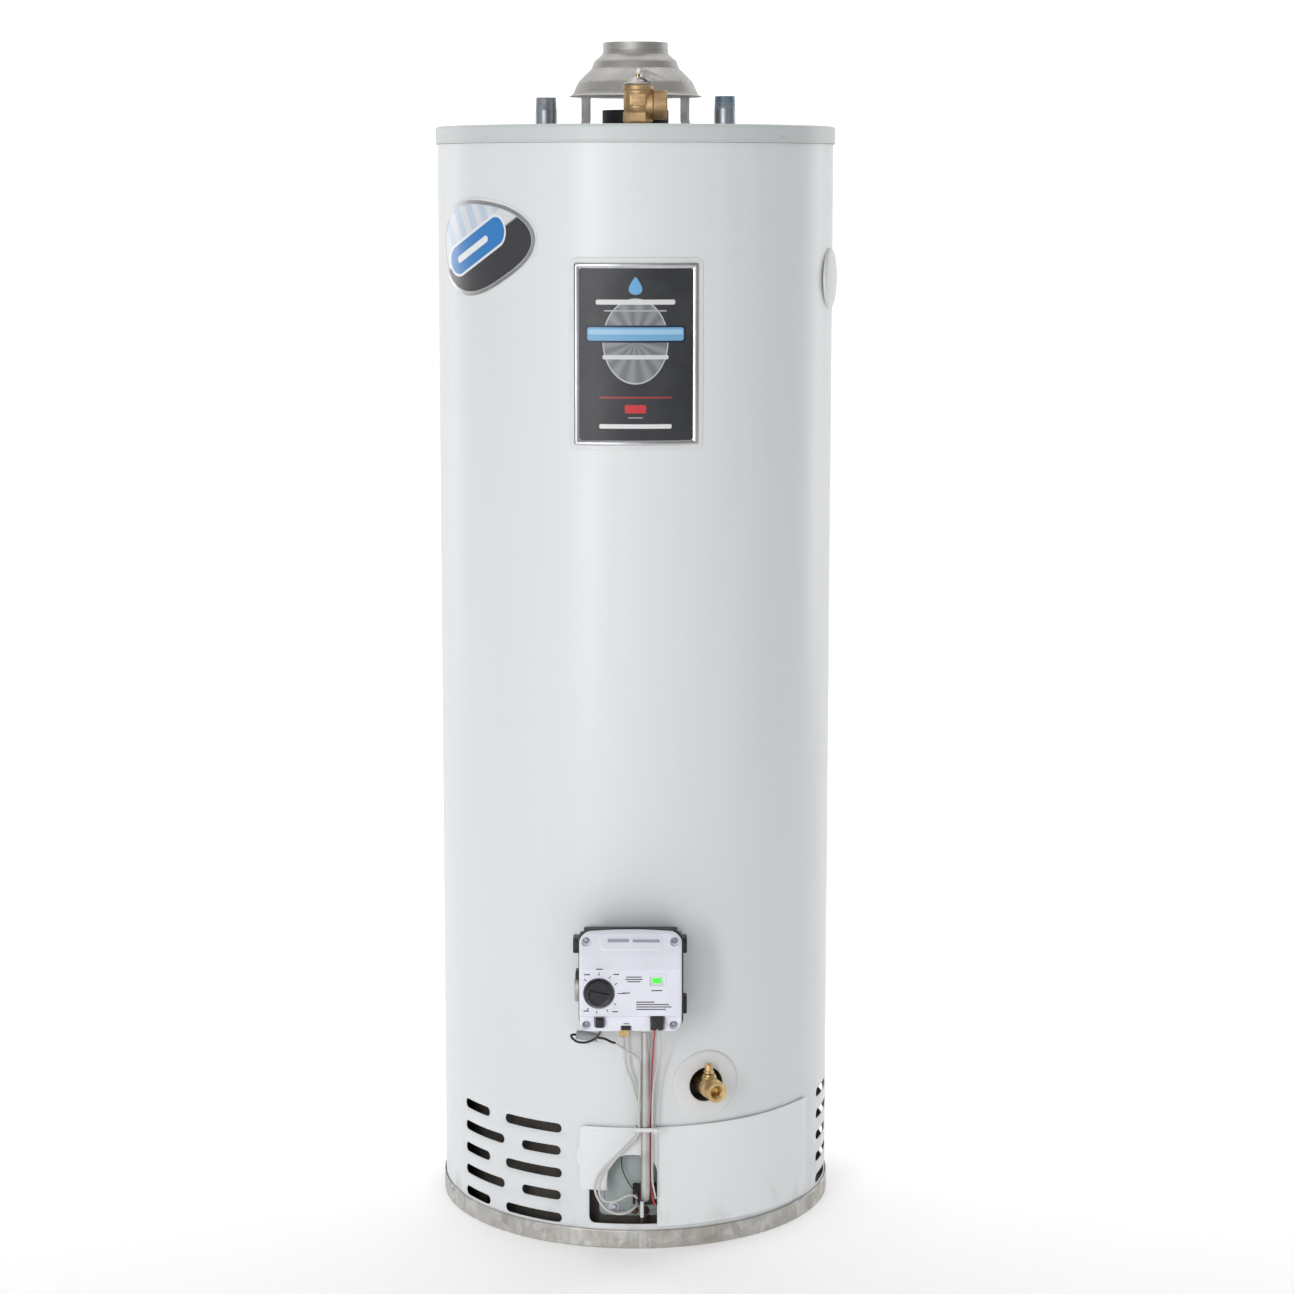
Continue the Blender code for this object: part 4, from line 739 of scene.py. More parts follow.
def makeJacket():
    # a sheet on lines of azimuth and height; inside each hole's patch the border is drawn in to
    # the hole's outline, which is the nearest point on a rounded rectangle
    cells, radius = jacketCells(), jacket["radius"]
    angles = np.mod([a for cell in cells for a in cell[:2]], 360)
    azimuths = spreadLines(np.concatenate([angles, [angles.min() + 360]]), 1.3)
    low = [0.0, jacket["foot"], jacket["top"], *(z for cell in cells for z in cell[2:4])]
    heights = np.append(spreadLines(low[1:], 0.0075), jacket["top"])
    keep = (heights < 0.245) | (np.arange(len(heights)) % 5 == 0) | (heights == heights[-1])
    heights = heights[keep]
    columns, rows = len(azimuths), len(heights)
    taken = np.zeros((rows - 1, columns), bool)

    def column(azimuth):
        away = np.abs(np.mod(azimuths - azimuth + 180, 360) - 180)
        return int(away.argmin())

    loops = []
    for a, b, z0, z1, hole in cells:
        ca, count = column(a), (column(b) - column(a)) % columns
        ra, rb = int(np.abs(heights - z0).argmin()), int(np.abs(heights - z1).argmin())
        span = (ca + np.arange(count + 1)) % columns
        taken[ra:rb, span[:-1]] = True
        up = np.arange(ra, rb + 1)
        rowsRound = np.concatenate([np.full(count, ra), up[:-1], np.full(count, rb), up[:0:-1]])
        colsRound = np.concatenate([span[:-1], np.full(rb - ra, span[-1]), span[:0:-1],
                                    np.full(rb - ra, span[0])])
        border = rowsRound * columns + colsRound
        middle = (a + b) / 2
        across = np.radians(np.mod(azimuths[colsRound] - middle + 180, 360) - 180) * radius
        h0, h1, hz0, hz1, corner = hole
        half = np.radians(h1 - h0) / 2 * radius
        offset = np.radians((h0 + h1) / 2 - middle) * radius
        centre = np.array([offset, (hz0 + hz1) / 2])
        spot = np.stack([across, heights[rowsRound]], -1) - centre
        core = np.clip(spot, (-half + corner, -(hz1 - hz0) / 2 + corner),
                       (half - corner, (hz1 - hz0) / 2 - corner))
        outward = (spot - core) / np.linalg.norm(spot - core, axis=1)[:, None]
        rim = core + outward * corner
        loops.append((border, rim + centre, outward, math.radians(middle)))

    i, j = np.nonzero(~taken)
    m = (j + 1) % columns
    sheet = np.stack([i * columns + j, i * columns + m, (i + 1) * columns + m, (i + 1) * columns + j], -1)
    turn = np.radians(azimuths)

    def layer(depth):
        r = radius - depth
        grid = np.stack(np.broadcast_arrays(r * np.sin(turn)[None], -r * np.cos(turn)[None], heights[:, None]), -1)
        return grid.reshape(-1, 3)

    def bent(spot, middle, depth):
        angle = spot[:, 0] / radius + middle
        r = radius - depth
        return np.stack([r * np.sin(angle), -r * np.cos(angle), spot[:, 1]], -1)

    points = [layer(0), layer(jacket["wall"])]
    total = rows * columns
    faces = [sheet, sheet[:, ::-1] + total]
    edge = np.arange(columns)
    after = (edge + 1) % columns
    top = (rows - 1) * columns
    faces.append(np.stack([top + edge, top + after, total + top + after, total + top + edge], -1))
    faces.append(np.stack([after, edge, total + edge, total + after], -1))
    start = 2 * total
    for border, rim, outward, middle in loops:
        n = len(border)
        k = np.arange(n)
        k1 = (k + 1) % n
        lip = jacket["lip"]
        inside = rim - outward * lip
        rings = [bent(rim, middle, 0), bent(inside, middle, lip),
                 bent(inside, middle, jacket["wall"] - lip * 0.5), bent(rim, middle, jacket["wall"])]
        points += rings
        marks = [border, *(start + q * n + k for q in range(4)), border + total]
        for first, second in zip(marks, marks[1:]):
            faces.append(np.stack([first[k], first[k1], second[k1], second[k]], -1))
        start += 4 * n
    faces = [np.vstack(faces)]
    points = np.vstack(points)
    used = np.unique(faces[0])
    renumber = np.zeros(len(points), int)
    renumber[used] = np.arange(len(used))
    return meshPiece("jacketSheet", points[used], [renumber[faces[0]]], "jacket", 50,
                     slot="jacket_paint", stands=("jacket",))


makeJacket()


# base ring

baseRing = {"radius": 0.2566, "high": 0.0245, "crimps": 118, "crimpDepth": 0.0009, "roll": 0.0014}


def makeBaseRing():
    # r = radius - depth where a crimp falls, plus a low wave; each crimp is a narrow upright bell
    rng = np.random.default_rng(7)
    spots = (np.arange(baseRing["crimps"]) + rng.uniform(-0.28, 0.28,
        baseRing["crimps"])) / baseRing["crimps"] * fullTurn
    depths = baseRing["crimpDepth"] * rng.uniform(0.45, 1.1, baseRing["crimps"])
    feet = rng.uniform(0.0005, 0.006, baseRing["crimps"])

    def crimped(radius, angle, height):
        away = np.mod(angle[0][:, None] - spots[None] + math.pi, fullTurn) - math.pi
        bell = np.exp(-(away / 0.0042) ** 2) * depths
        rise = 1 / (1 + np.exp(-(height[:, :1, None] - feet) / 0.0008))
        fall = 1 / (1 + np.exp((height[:, :1, None] - 0.0205) / 0.0007))
        dent = (bell[None] * rise * fall).sum(-1)
        wave = 0.0003 * np.sin(angle * 5 + 1) + 0.0002 * np.sin(angle * 13)
        return radius - np.where(radius > 0.25, dent * (radius > 0.2555) + np.abs(wave) * 0.5, 0)

    r, top, roll = baseRing["radius"], baseRing["high"], baseRing["roll"]
    wall = [(r, z) for z in np.linspace(roll, top - roll, 16)]
    profile = softCorners([(0.01, 0.0012), (0.01, 0.0002), (r - roll, 0.0002, 0), *((a, b) for a, b in wall),
                           (r - 0.0004, top - 0.0004), (r - 0.0010, top), (r - 0.0016, top - 0.0006),
                           (r - 0.0016, 0.0016), (0.235, 0.0012)])
    rings = latheRings(profile, sides=1080, radiusOf=crimped)
    meshPiece("baseRing", *shellPoints(rings, True), "galvanised", 60, stands=("base_pan",))


makeBaseRing()


# cap

cap = {"radius": 0.2562, "top": 1.405, "edge": 1.383, "hole": 0.0436, "roll": 0.0032,
       "dents": (45, 135, 225, 315), "dentHeight": 1.3915}


def makeCap():
    # a lid turned down at its edge; each dent is a small bell pressed into the rim
    def dented(radius, angle, height):
        dent = sum(np.exp(-((np.mod(angle - math.radians(a) + math.pi, fullTurn) - math.pi) / 0.011) ** 2)
                   for a in cap["dents"])
        return radius - 0.0016 * dent * np.exp(-((height - cap["dentHeight"]) / 0.0026) ** 2) * (radius > 0.25)

    r, top, edge = cap["radius"], cap["top"], cap["edge"]
    side = [(r, z) for z in np.linspace(top - 0.006, edge + 0.0022, 14)]
    corners = [(cap["hole"], top - 0.0010), (cap["hole"], top - 0.0002, 0.0004),
               (cap["hole"] + 0.004, top + 0.0002, 0.002),
               (0.120, top + 0.0002), (0.2440, top), (r - cap["roll"], top, 0.002), (r - 0.0008, top - 0.0012, 0.001),
               (r, top - 0.0036, 0.001), *side,
               (r + 0.0004, edge + 0.0014, 0.0004), (r + 0.0002, edge, 0.0003), (r - 0.0006, edge, 0.0003),
               (r - 0.0010, edge + 0.001), (r - 0.0010, top - 0.0045, 0.001), (r - 0.0042, top - 0.0010, 0.001)]
    rings = latheRings(softCorners(corners), sides=360, radiusOf=dented)
    meshPiece("capLid", *shellPoints(rings, True), "cap", 50, slot="cap_paint", stands=("top_cap",))
    lathe("capShadow", [(0.2530, edge - 0.0004), (0.2550, edge - 0.0004, 0.0004), (0.2552, edge + 0.0010, 0.0003),
                        (0.2530, edge + 0.0012)], "rubber", True, sides=240)


makeCap()
print("jacket, ring and cap made")


# outer door

outerDoor = {"radius": 0.2572, "wall": 0.0012, "left": -15.8, "right": 60.0, "archLeft": -8.0, "archRight": 6.1,
             "foot": 0.030, "step": 0.0765, "top": 0.159, "leftHaunch": 0.090, "rightHaunch": 0.098,
             "crown": 0.124, "corner": 0.008}


def doorLines():
    # column positions as arc lengths, with a mark for the part of the door that each belongs to
    toArc = math.radians(1) * outerDoor["radius"]
    left, right, archLeft, archRight = (outerDoor[k] * toArc for k in ("left", "right", "archLeft", "archRight"))
    corner = outerDoor["corner"]
    ease = 1 - np.cos(np.linspace(0, math.pi / 2, 7))
    short = np.unique(np.round(np.concatenate([left + corner * ease, np.linspace(left + corner, archLeft, 6)]), 6))
    arch = archLeft + (archRight - archLeft) * (1 - np.cos(np.linspace(0, math.pi, 33))) / 2
    long = np.unique(np.round(np.concatenate([np.linspace(archRight, right - corner, 46), right - corner * ease]), 6))
    return short, arch, long


def makeOuterDoor():
    # three bands of rows; the lowest belongs to the long part only and the middle one skips the arch
    short, arch, long = doorLines()
    left, right, corner = short[0], long[-1], outerDoor["corner"]
    across = np.concatenate([short, arch[1:], long[1:]])
    isArch = (across > arch[0] + 1e-9) & (across < arch[-1] - 1e-9)
    inLong = across >= arch[-1] - 1e-9
    fromEnd = np.minimum(across - left, right - across)
    cut = np.where(fromEnd < corner, corner - np.sqrt(np.maximum(corner ** 2 - (corner - fromEnd) ** 2, 0)), 0)
    top = outerDoor["top"] - cut
    middle, half = (arch[0] + arch[-1]) / 2, (arch[-1] - arch[0]) / 2
    haunch = outerDoor["leftHaunch"] + (outerDoor["rightHaunch"] - outerDoor["leftHaunch"]) * (across - arch[0]) / (2 * half)
    swell = np.maximum(1 - np.abs((across - middle) / half) ** 2.3, 0) ** (1 / 2.3)
    archLine = haunch + (outerDoor["crown"] - haunch) * swell
    upperFoot = np.where(isArch, archLine, np.where(inLong, outerDoor["rightHaunch"], outerDoor["leftHaunch"]))
    middleFoot = outerDoor["step"] + np.where(inLong, 0, cut * 0.6)
    lowerFoot = outerDoor["foot"] + np.where(inLong, cut, 0)
    bands = [(lowerFoot, middleFoot, 8, inLong), (middleFoot, upperFoot, 4, ~isArch), (upperFoot, top, 16, None)]
    rows, masks = [], []
    for low, high, count, mask in bands:
        t = np.linspace(0, 1, count, endpoint=False)[:, None]
        rows.append(low + (high - low) * t)
        masks += [mask] * count
    height = np.vstack([*rows, top[None]])
    columns = len(across)
    here = np.ones((len(masks), columns - 1), bool)
    for i, mask in enumerate(masks):
        if mask is not None:
            here[i] = mask[:-1] & mask[1:]
            if i >= 8:
                mid = (across[:-1] + across[1:]) / 2
                here[i] = (mid < arch[0]) | (mid > arch[-1])
    spread = np.broadcast_to(across, height.shape)
    tab = np.exp(-((height - 0.121) / 0.0105) ** 6) * np.exp(-((spread - left) / 0.006) ** 2)
    spread = spread - 0.0040 * tab
    ridge = np.exp(-((spread - (right - 0.012)) / 0.005) ** 2) * 0.0010
    ridge = ridge + 0.0008 * np.exp(-((height - 0.154) / 0.002) ** 2)
    wave = 0.0005 * np.sin(spread * 31 + height * 20)
    lift = ridge + wave + 0.0020 * tab * np.exp(-((spread - left) / 0.002) ** 2)

    i, j = np.nonzero(here)
    quads = np.stack([i * columns + j, i * columns + j + 1, (i + 1) * columns + j + 1, (i + 1) * columns + j], -1)
    front = onJacket(spread, height, lift, outerDoor["radius"]).reshape(-1, 3)
    back = onJacket(spread, height, lift - outerDoor["wall"], outerDoor["radius"]).reshape(-1, 3)
    plateFromSheet("doorSkin", front, back, quads, "door", body="outer_door", slot="jacket_paint",
                   stands=("outer_door",))


def plateFromSheet(name, front, back, quads, look, sharp=45, **wear):
    # front and back sheets with a wall along every edge that only one face uses
    total = len(front)
    edges = np.stack([quads, np.roll(quads, -1, 1)], -1).reshape(-1, 2)
    key = np.sort(edges, 1)
    _, index, count = np.unique(key, axis=0, return_inverse=True, return_counts=True)
    rim = edges[count[index.reshape(-1)] == 1]
    walls = np.stack([rim[:, 1], rim[:, 0], rim[:, 0] + total, rim[:, 1] + total], -1)
    faces = np.vstack([quads, quads[:, ::-1] + total, walls])
    points = np.vstack([front, back])
    used = np.unique(faces)
    renumber = np.zeros(len(points), int)
    renumber[used] = np.arange(len(used))
    return meshPiece(name, points[used], [renumber[faces]], look, sharp, **wear)


makeOuterDoor()


# inner door and its screws

innerDoor = {"radius": 0.2325, "low": -11.4, "high": 32.0, "foot": 0.0355, "top": 0.144, "corner": 0.008,
             "wall": 0.0012}


def makeInnerDoor():
    toArc = math.radians(1) * innerDoor["radius"]
    width = (innerDoor["high"] - innerDoor["low"]) * toArc
    height = innerDoor["top"] - innerDoor["foot"]
    centre = ((innerDoor["high"] + innerDoor["low"]) / 2 * toArc, (innerDoor["top"] + innerDoor["foot"]) / 2)
    loop = roundedLoop(width, height, innerDoor["corner"], 8, 160)
    wall = innerDoor["wall"]
    rim = [(0.0004, -wall), (0, -wall * 0.6), (0, -0.0003), (0.0004, 0), (0.0065, 0), (0.0080, 0.0016),
           (0.0110, 0.0016)]
    curvedPlate("innerDoorPlate", loop, centre, rim, innerDoor["radius"], "innerDoor",
                slot="door_steel", stands=("inner_door",))
    for i, (azimuth, z, size, look) in enumerate(((-6.6, 0.047, 0.0055, "screw"), (-0.3, 0.0435, 0.0040, "rust"),
                                                  (3.0, 0.0430, 0.0042, "rust"))):
        angle = math.radians(azimuth)
        outward = (math.sin(angle), -math.cos(angle), 0)
        origin = np.array(outward) * (innerDoor["radius"] + 0.0016) + np.array([0, 0, z])
        lathe(f"doorWasher{i + 1}", [(0.0008, 0), (size * 1.3, 0, 0.0002), (size * 1.3, 0.0010, 0.0003),
                                     (size * 0.9, 0.0012)],
              look, sides=32, origin=origin, axis=outward, slot="zinc_steel")
        lathe(f"doorScrew{i + 1}", [(0.0008, 0.0008), (size * 0.75, 0.0010), (size * 0.75, 0.0036, 0.0006),
                                    (size * 0.55, 0.0042, 0.0004)],
              look, sides=36, origin=origin, axis=outward, radiusOf=hexRadius, slot="zinc_steel")


makeInnerDoor()


# plates on the jacket

namePlate = {"middle": 0.2, "high": 1.128, "width": 0.1655, "height": 0.234, "corner": 0.0105}


def makeNamePlate():
    radius = jacket["radius"]
    toArc = math.radians(1) * radius
    centre = (namePlate["middle"] * toArc, namePlate["high"])
    loop = roundedLoop(namePlate["width"], namePlate["height"], namePlate["corner"], 10, 240)
    curvedPlate("plateCard", loop, centre, [(0.0003, 0.0002), (0, 0.0006), (0.0004, 0.0010), (0.0044, 0.0010)],
                radius, "white")
    rim = [(0.0062, 0.0009), (0.0066, 0.0022), (0.0082, 0.0030), (0.0100, 0.0030), (0.0125, 0.0016), (0.0135, 0.0009)]
    curvedFrame("plateRim", loop, centre, rim, radius, "frame")
    inner = roundedLoop(namePlate["width"] - 0.0262, namePlate["height"] - 0.0262, 0.0018, 6, 200)
    curvedPlate("platePanel", inner, centre, [(0.0002, 0.0008), (0, 0.0014), (0.0002, 0.0016)], radius, "panel")


badge = {"azimuth": -50.5, "high": 1.257}


def makeBadge():
    # a slanted rounded shape: r(t) = oval with two gentle swells, in arc length and height
    radius = jacket["radius"]
    t = np.linspace(0, fullTurn, 200, endpoint=False)
    swell = 1 + 0.055 * np.cos(3 * t - 0.7) + 0.06 * np.cos(2 * t - 0.9)
    loop = np.stack([0.092 * np.cos(t) * swell, 0.064 * np.sin(t) * swell], -1)
    centre = (math.radians(badge["azimuth"]) * radius, badge["high"])
    middle = onJacket(np.array(centre[0]), np.array(centre[1]), 0, radius)
    curvedPlate("badgeCard", loop, centre, [(0.0003, 0.0002), (0, 0.0004), (0.0003, 0.0007)], radius, "white")
    rim = [(0.0030, 0.0006), (0.0034, 0.0011), (0.0078, 0.0011), (0.0082, 0.0006)]
    curvedFrame("badgeRim", loop, centre, rim, radius, "frame")
    curvedPlate("badgeFace", insetLoop(loop, 0.0086), centre, [(0.0002, 0.0005), (0, 0.0008), (0.0002, 0.0010)],
                radius, badgeLook(float(middle[0]), float(middle[2])), slot="white_plastic")


makeNamePlate()
makeBadge()

outward = lambda azimuth: np.array([math.sin(math.radians(azimuth)), -math.cos(math.radians(azimuth)), 0])

plug = {"azimuth": 76, "high": 1.214}
lathe("sidePlug", [(0.002, 0.2608), (0.014, 0.2605, 0.02), (0.028, 0.2594, 0.02), (0.0360, 0.2576, 0.003),
                   (0.0380, 0.2562, 0.0008),
                   (0.0380, 0.2530, 0.0004), (0.002, 0.2530)], "white", sides=120, origin=(0, 0, plug["high"]),
      axis=outward(plug["azimuth"]), stands=("side_plug",))

escutcheon = {"azimuth": 20.4, "high": 0.210, "outer": 0.0435, "hole": 0.0220}


def makeEscutcheon():
    # rings of (radius, lift) on the jacket, joined end to end
    t = np.linspace(0, fullTurn, 120, endpoint=False)
    hole, outer = escutcheon["hole"], escutcheon["outer"]
    profile = [(hole, 0.0002), (hole, 0.0016), (hole + 0.0004, 0.0021), (hole + 0.0015, 0.0024), (0.0300, 0.0025),
               (0.0400, 0.0022),
               (outer - 0.0007, 0.0018), (outer, 0.0010), (outer, 0.0002)]
    centre = math.radians(escutcheon["azimuth"]) * jacket["radius"]
    grid = np.array([onJacket(centre + r * np.cos(t), escutcheon["high"] + r * np.sin(t), lift, jacket["radius"])
                     for r, lift in profile])
    meshPiece("drainPlate", *shellPoints(grid, True), "white", 45, stands=("drain_escutcheon",))


makeEscutcheon()
rivet = {"azimuth": -69, "high": 0.020}
lathe("ringRivet", [(0.0006, 0.2560), (0.0034, 0.2560), (0.0034, 0.2570, 0.0006), (0.0016, 0.2582, 0.001),
                    (0.0006, 0.2583)],
      "screw", sides=24, origin=(0, 0, rivet["high"]), axis=outward(rivet["azimuth"]))
print("doors and plates made")


# hood, legs and flue

hood = {"top": 1.5115, "wall": 0.0009, "legRadius": 0.0735, "legs": (-60, 60, 180), "legHalf": 0.0110}


def makeHood():
    top, wall = hood["top"], hood["wall"]
    outer = [(0.0415, top, 0), (0.0415, 1.5010, 0.004), (0.0430, 1.4962, 0.004), (0.0530, 1.4880, 0.008),
             (0.0560, 1.4790, 0.006),
             (0.0640, 1.4715, 0.012), (0.0735, 1.4615, 0.016), (0.0795, 1.4480, 0.008), (0.0812, 1.4455, 0.003),
             (0.0850, 1.4440, 0.0006)]
    inner = [(r - wall, z - wall * 0.8, q) for r, z, q in [(0.0850, 1.4440, 0), *outer[:-1][::-1]]]
    inner[0] = (0.0846, 1.4430, 0.0002)
    inner[-1] = (0.0415 - wall, top, 0.0002)
    lathe("hoodShell", [outer[0], *outer[1:], *inner], "hood", True, 7, 40, sides=180, stands=("draft_hood",))
    for name, r, z, thick in (("hoodSeam", 0.0556, 1.4800, 0.0007), ("hoodCollarBead", 0.0418, 1.5020, 0.0006)):
        lathe(name, [(r - 0.001, z - thick), (r + thick * 0.6, z - thick * 0.5, 0.0003),
                     (r + thick * 0.6, z + thick * 0.5, 0.0003),
                     (r - 0.001, z + thick)], "hood", True, sides=160)
    for azimuth in hood["legs"]:
        side = {-60: "Left", 60: "Right", 180: "Back"}[azimuth]
        middle, half, r = math.radians(azimuth) * hood["legRadius"], hood["legHalf"], hood["legRadius"]
        across = np.linspace(-half, half, 14)
        height = np.linspace(cap["top"] + 0.0004, 1.4622, 18)
        s, z = np.meshgrid(across, height)
        bow = 0.0022 * np.exp(-((z - cap["top"]) / 0.004) ** 2)
        front = onJacket(middle + s, z, 0.0004 + bow, r).reshape(-1, 3)
        back = onJacket(middle + s, z, -0.0008 + bow, r).reshape(-1, 3)
        i, j = np.meshgrid(np.arange(17), np.arange(13), indexing="ij")
        quads = np.stack([i * 14 + j, i * 14 + j + 1, (i + 1) * 14 + j + 1, (i + 1) * 14 + j], -1).reshape(-1, 4)
        plateFromSheet(f"hoodLeg{side}", front, back, quads, "leg")
        flange = half * (1 if azimuth > 0 else -1)
        s, z = np.meshgrid(np.linspace(0, 0.007, 6), height)
        spot = onJacket(middle + flange + 0 * s, z, -s, r).reshape(-1, 3)
        along = np.array([math.cos(math.radians(azimuth)), math.sin(math.radians(azimuth)), 0]) * 0.0010
        i, j = np.meshgrid(np.arange(17), np.arange(5), indexing="ij")
        quads = np.stack([i * 6 + j, i * 6 + j + 1, (i + 1) * 6 + j + 1, (i + 1) * 6 + j], -1).reshape(-1, 4)
        plateFromSheet(f"legFlange{side}", spot, spot - along, quads, "hood")


makeHood()
lathe("flueEnd", [(0.0425, 1.4262, 0.0004), (0.0425, 1.2), (0.0400, 1.2), (0.0400, 1.4262, 0.0004)], "flue", True, 4,
      sides=120,
      slot="flue_black", stands=("flue_tube",))


# pipe nipples

nipple = {"across": 0.1146, "radius": 0.0138, "bore": 0.0095, "hotTop": 1.4425, "coldTop": 1.4443, "pitch": 0.00181,
          "threadHigh": 0.0165, "threadDeep": 0.0006}


def makeNipple(name, x, top, look, node):
    # r = taper + a helical ridge: a triangle wave of height over pitch minus the angle's share of a turn
    pitch, low = nipple["pitch"], top - nipple["threadHigh"]

    def threaded(radius, angle, height):
        phase = np.mod(height / pitch - angle / fullTurn, 1)
        ridge = np.abs(phase * 2 - 1)
        inThread = 1 / (1 + np.exp(-(height - low) / 0.0006)) * (height < top - 0.0004)
        taper = np.clip((height - low) / nipple["threadHigh"], 0, 1) * 0.0007
        return np.where(radius > 0.012, radius - taper - nipple["threadDeep"] * ridge * inThread, radius)

    r, bore = nipple["radius"], nipple["bore"]
    wall = [(r, z) for z in np.concatenate([np.linspace(1.395, low - 0.0008, 5), np.linspace(low, top - 0.0006, 64)])]
    profile = [*wall, (r - 0.0010, top), (bore + 0.0006, top), (bore, top - 0.0006), (bore, 1.396)]
    rings = latheRings(profile, (x, 0, 0), sides=64, radiusOf=threaded)
    meshPiece(name, *shellPoints(rings, True), look, 60, slot="zinc_steel", stands=(node,))
    lathe(name + "Collar", [(r - 0.001, 1.4046), (r + 0.0042, 1.4046, 0.0003), (r + 0.0036, 1.4062, 0.0008),
                            (r - 0.001, 1.4066)],
          "rubber", True, sides=64, origin=(x, 0, 0))


makeNipple("hotPipe", -nipple["across"], nipple["hotTop"], "hot", "hot_nipple")
makeNipple("coldPipe", nipple["across"], nipple["coldTop"], "cold", "cold_nipple")
print("hood and nipples made")


# relief valve

relief = {"at": (0.003, -0.12, 1.4303), "pin": (0.007, -0.12, 1.4703), "lean": 20}


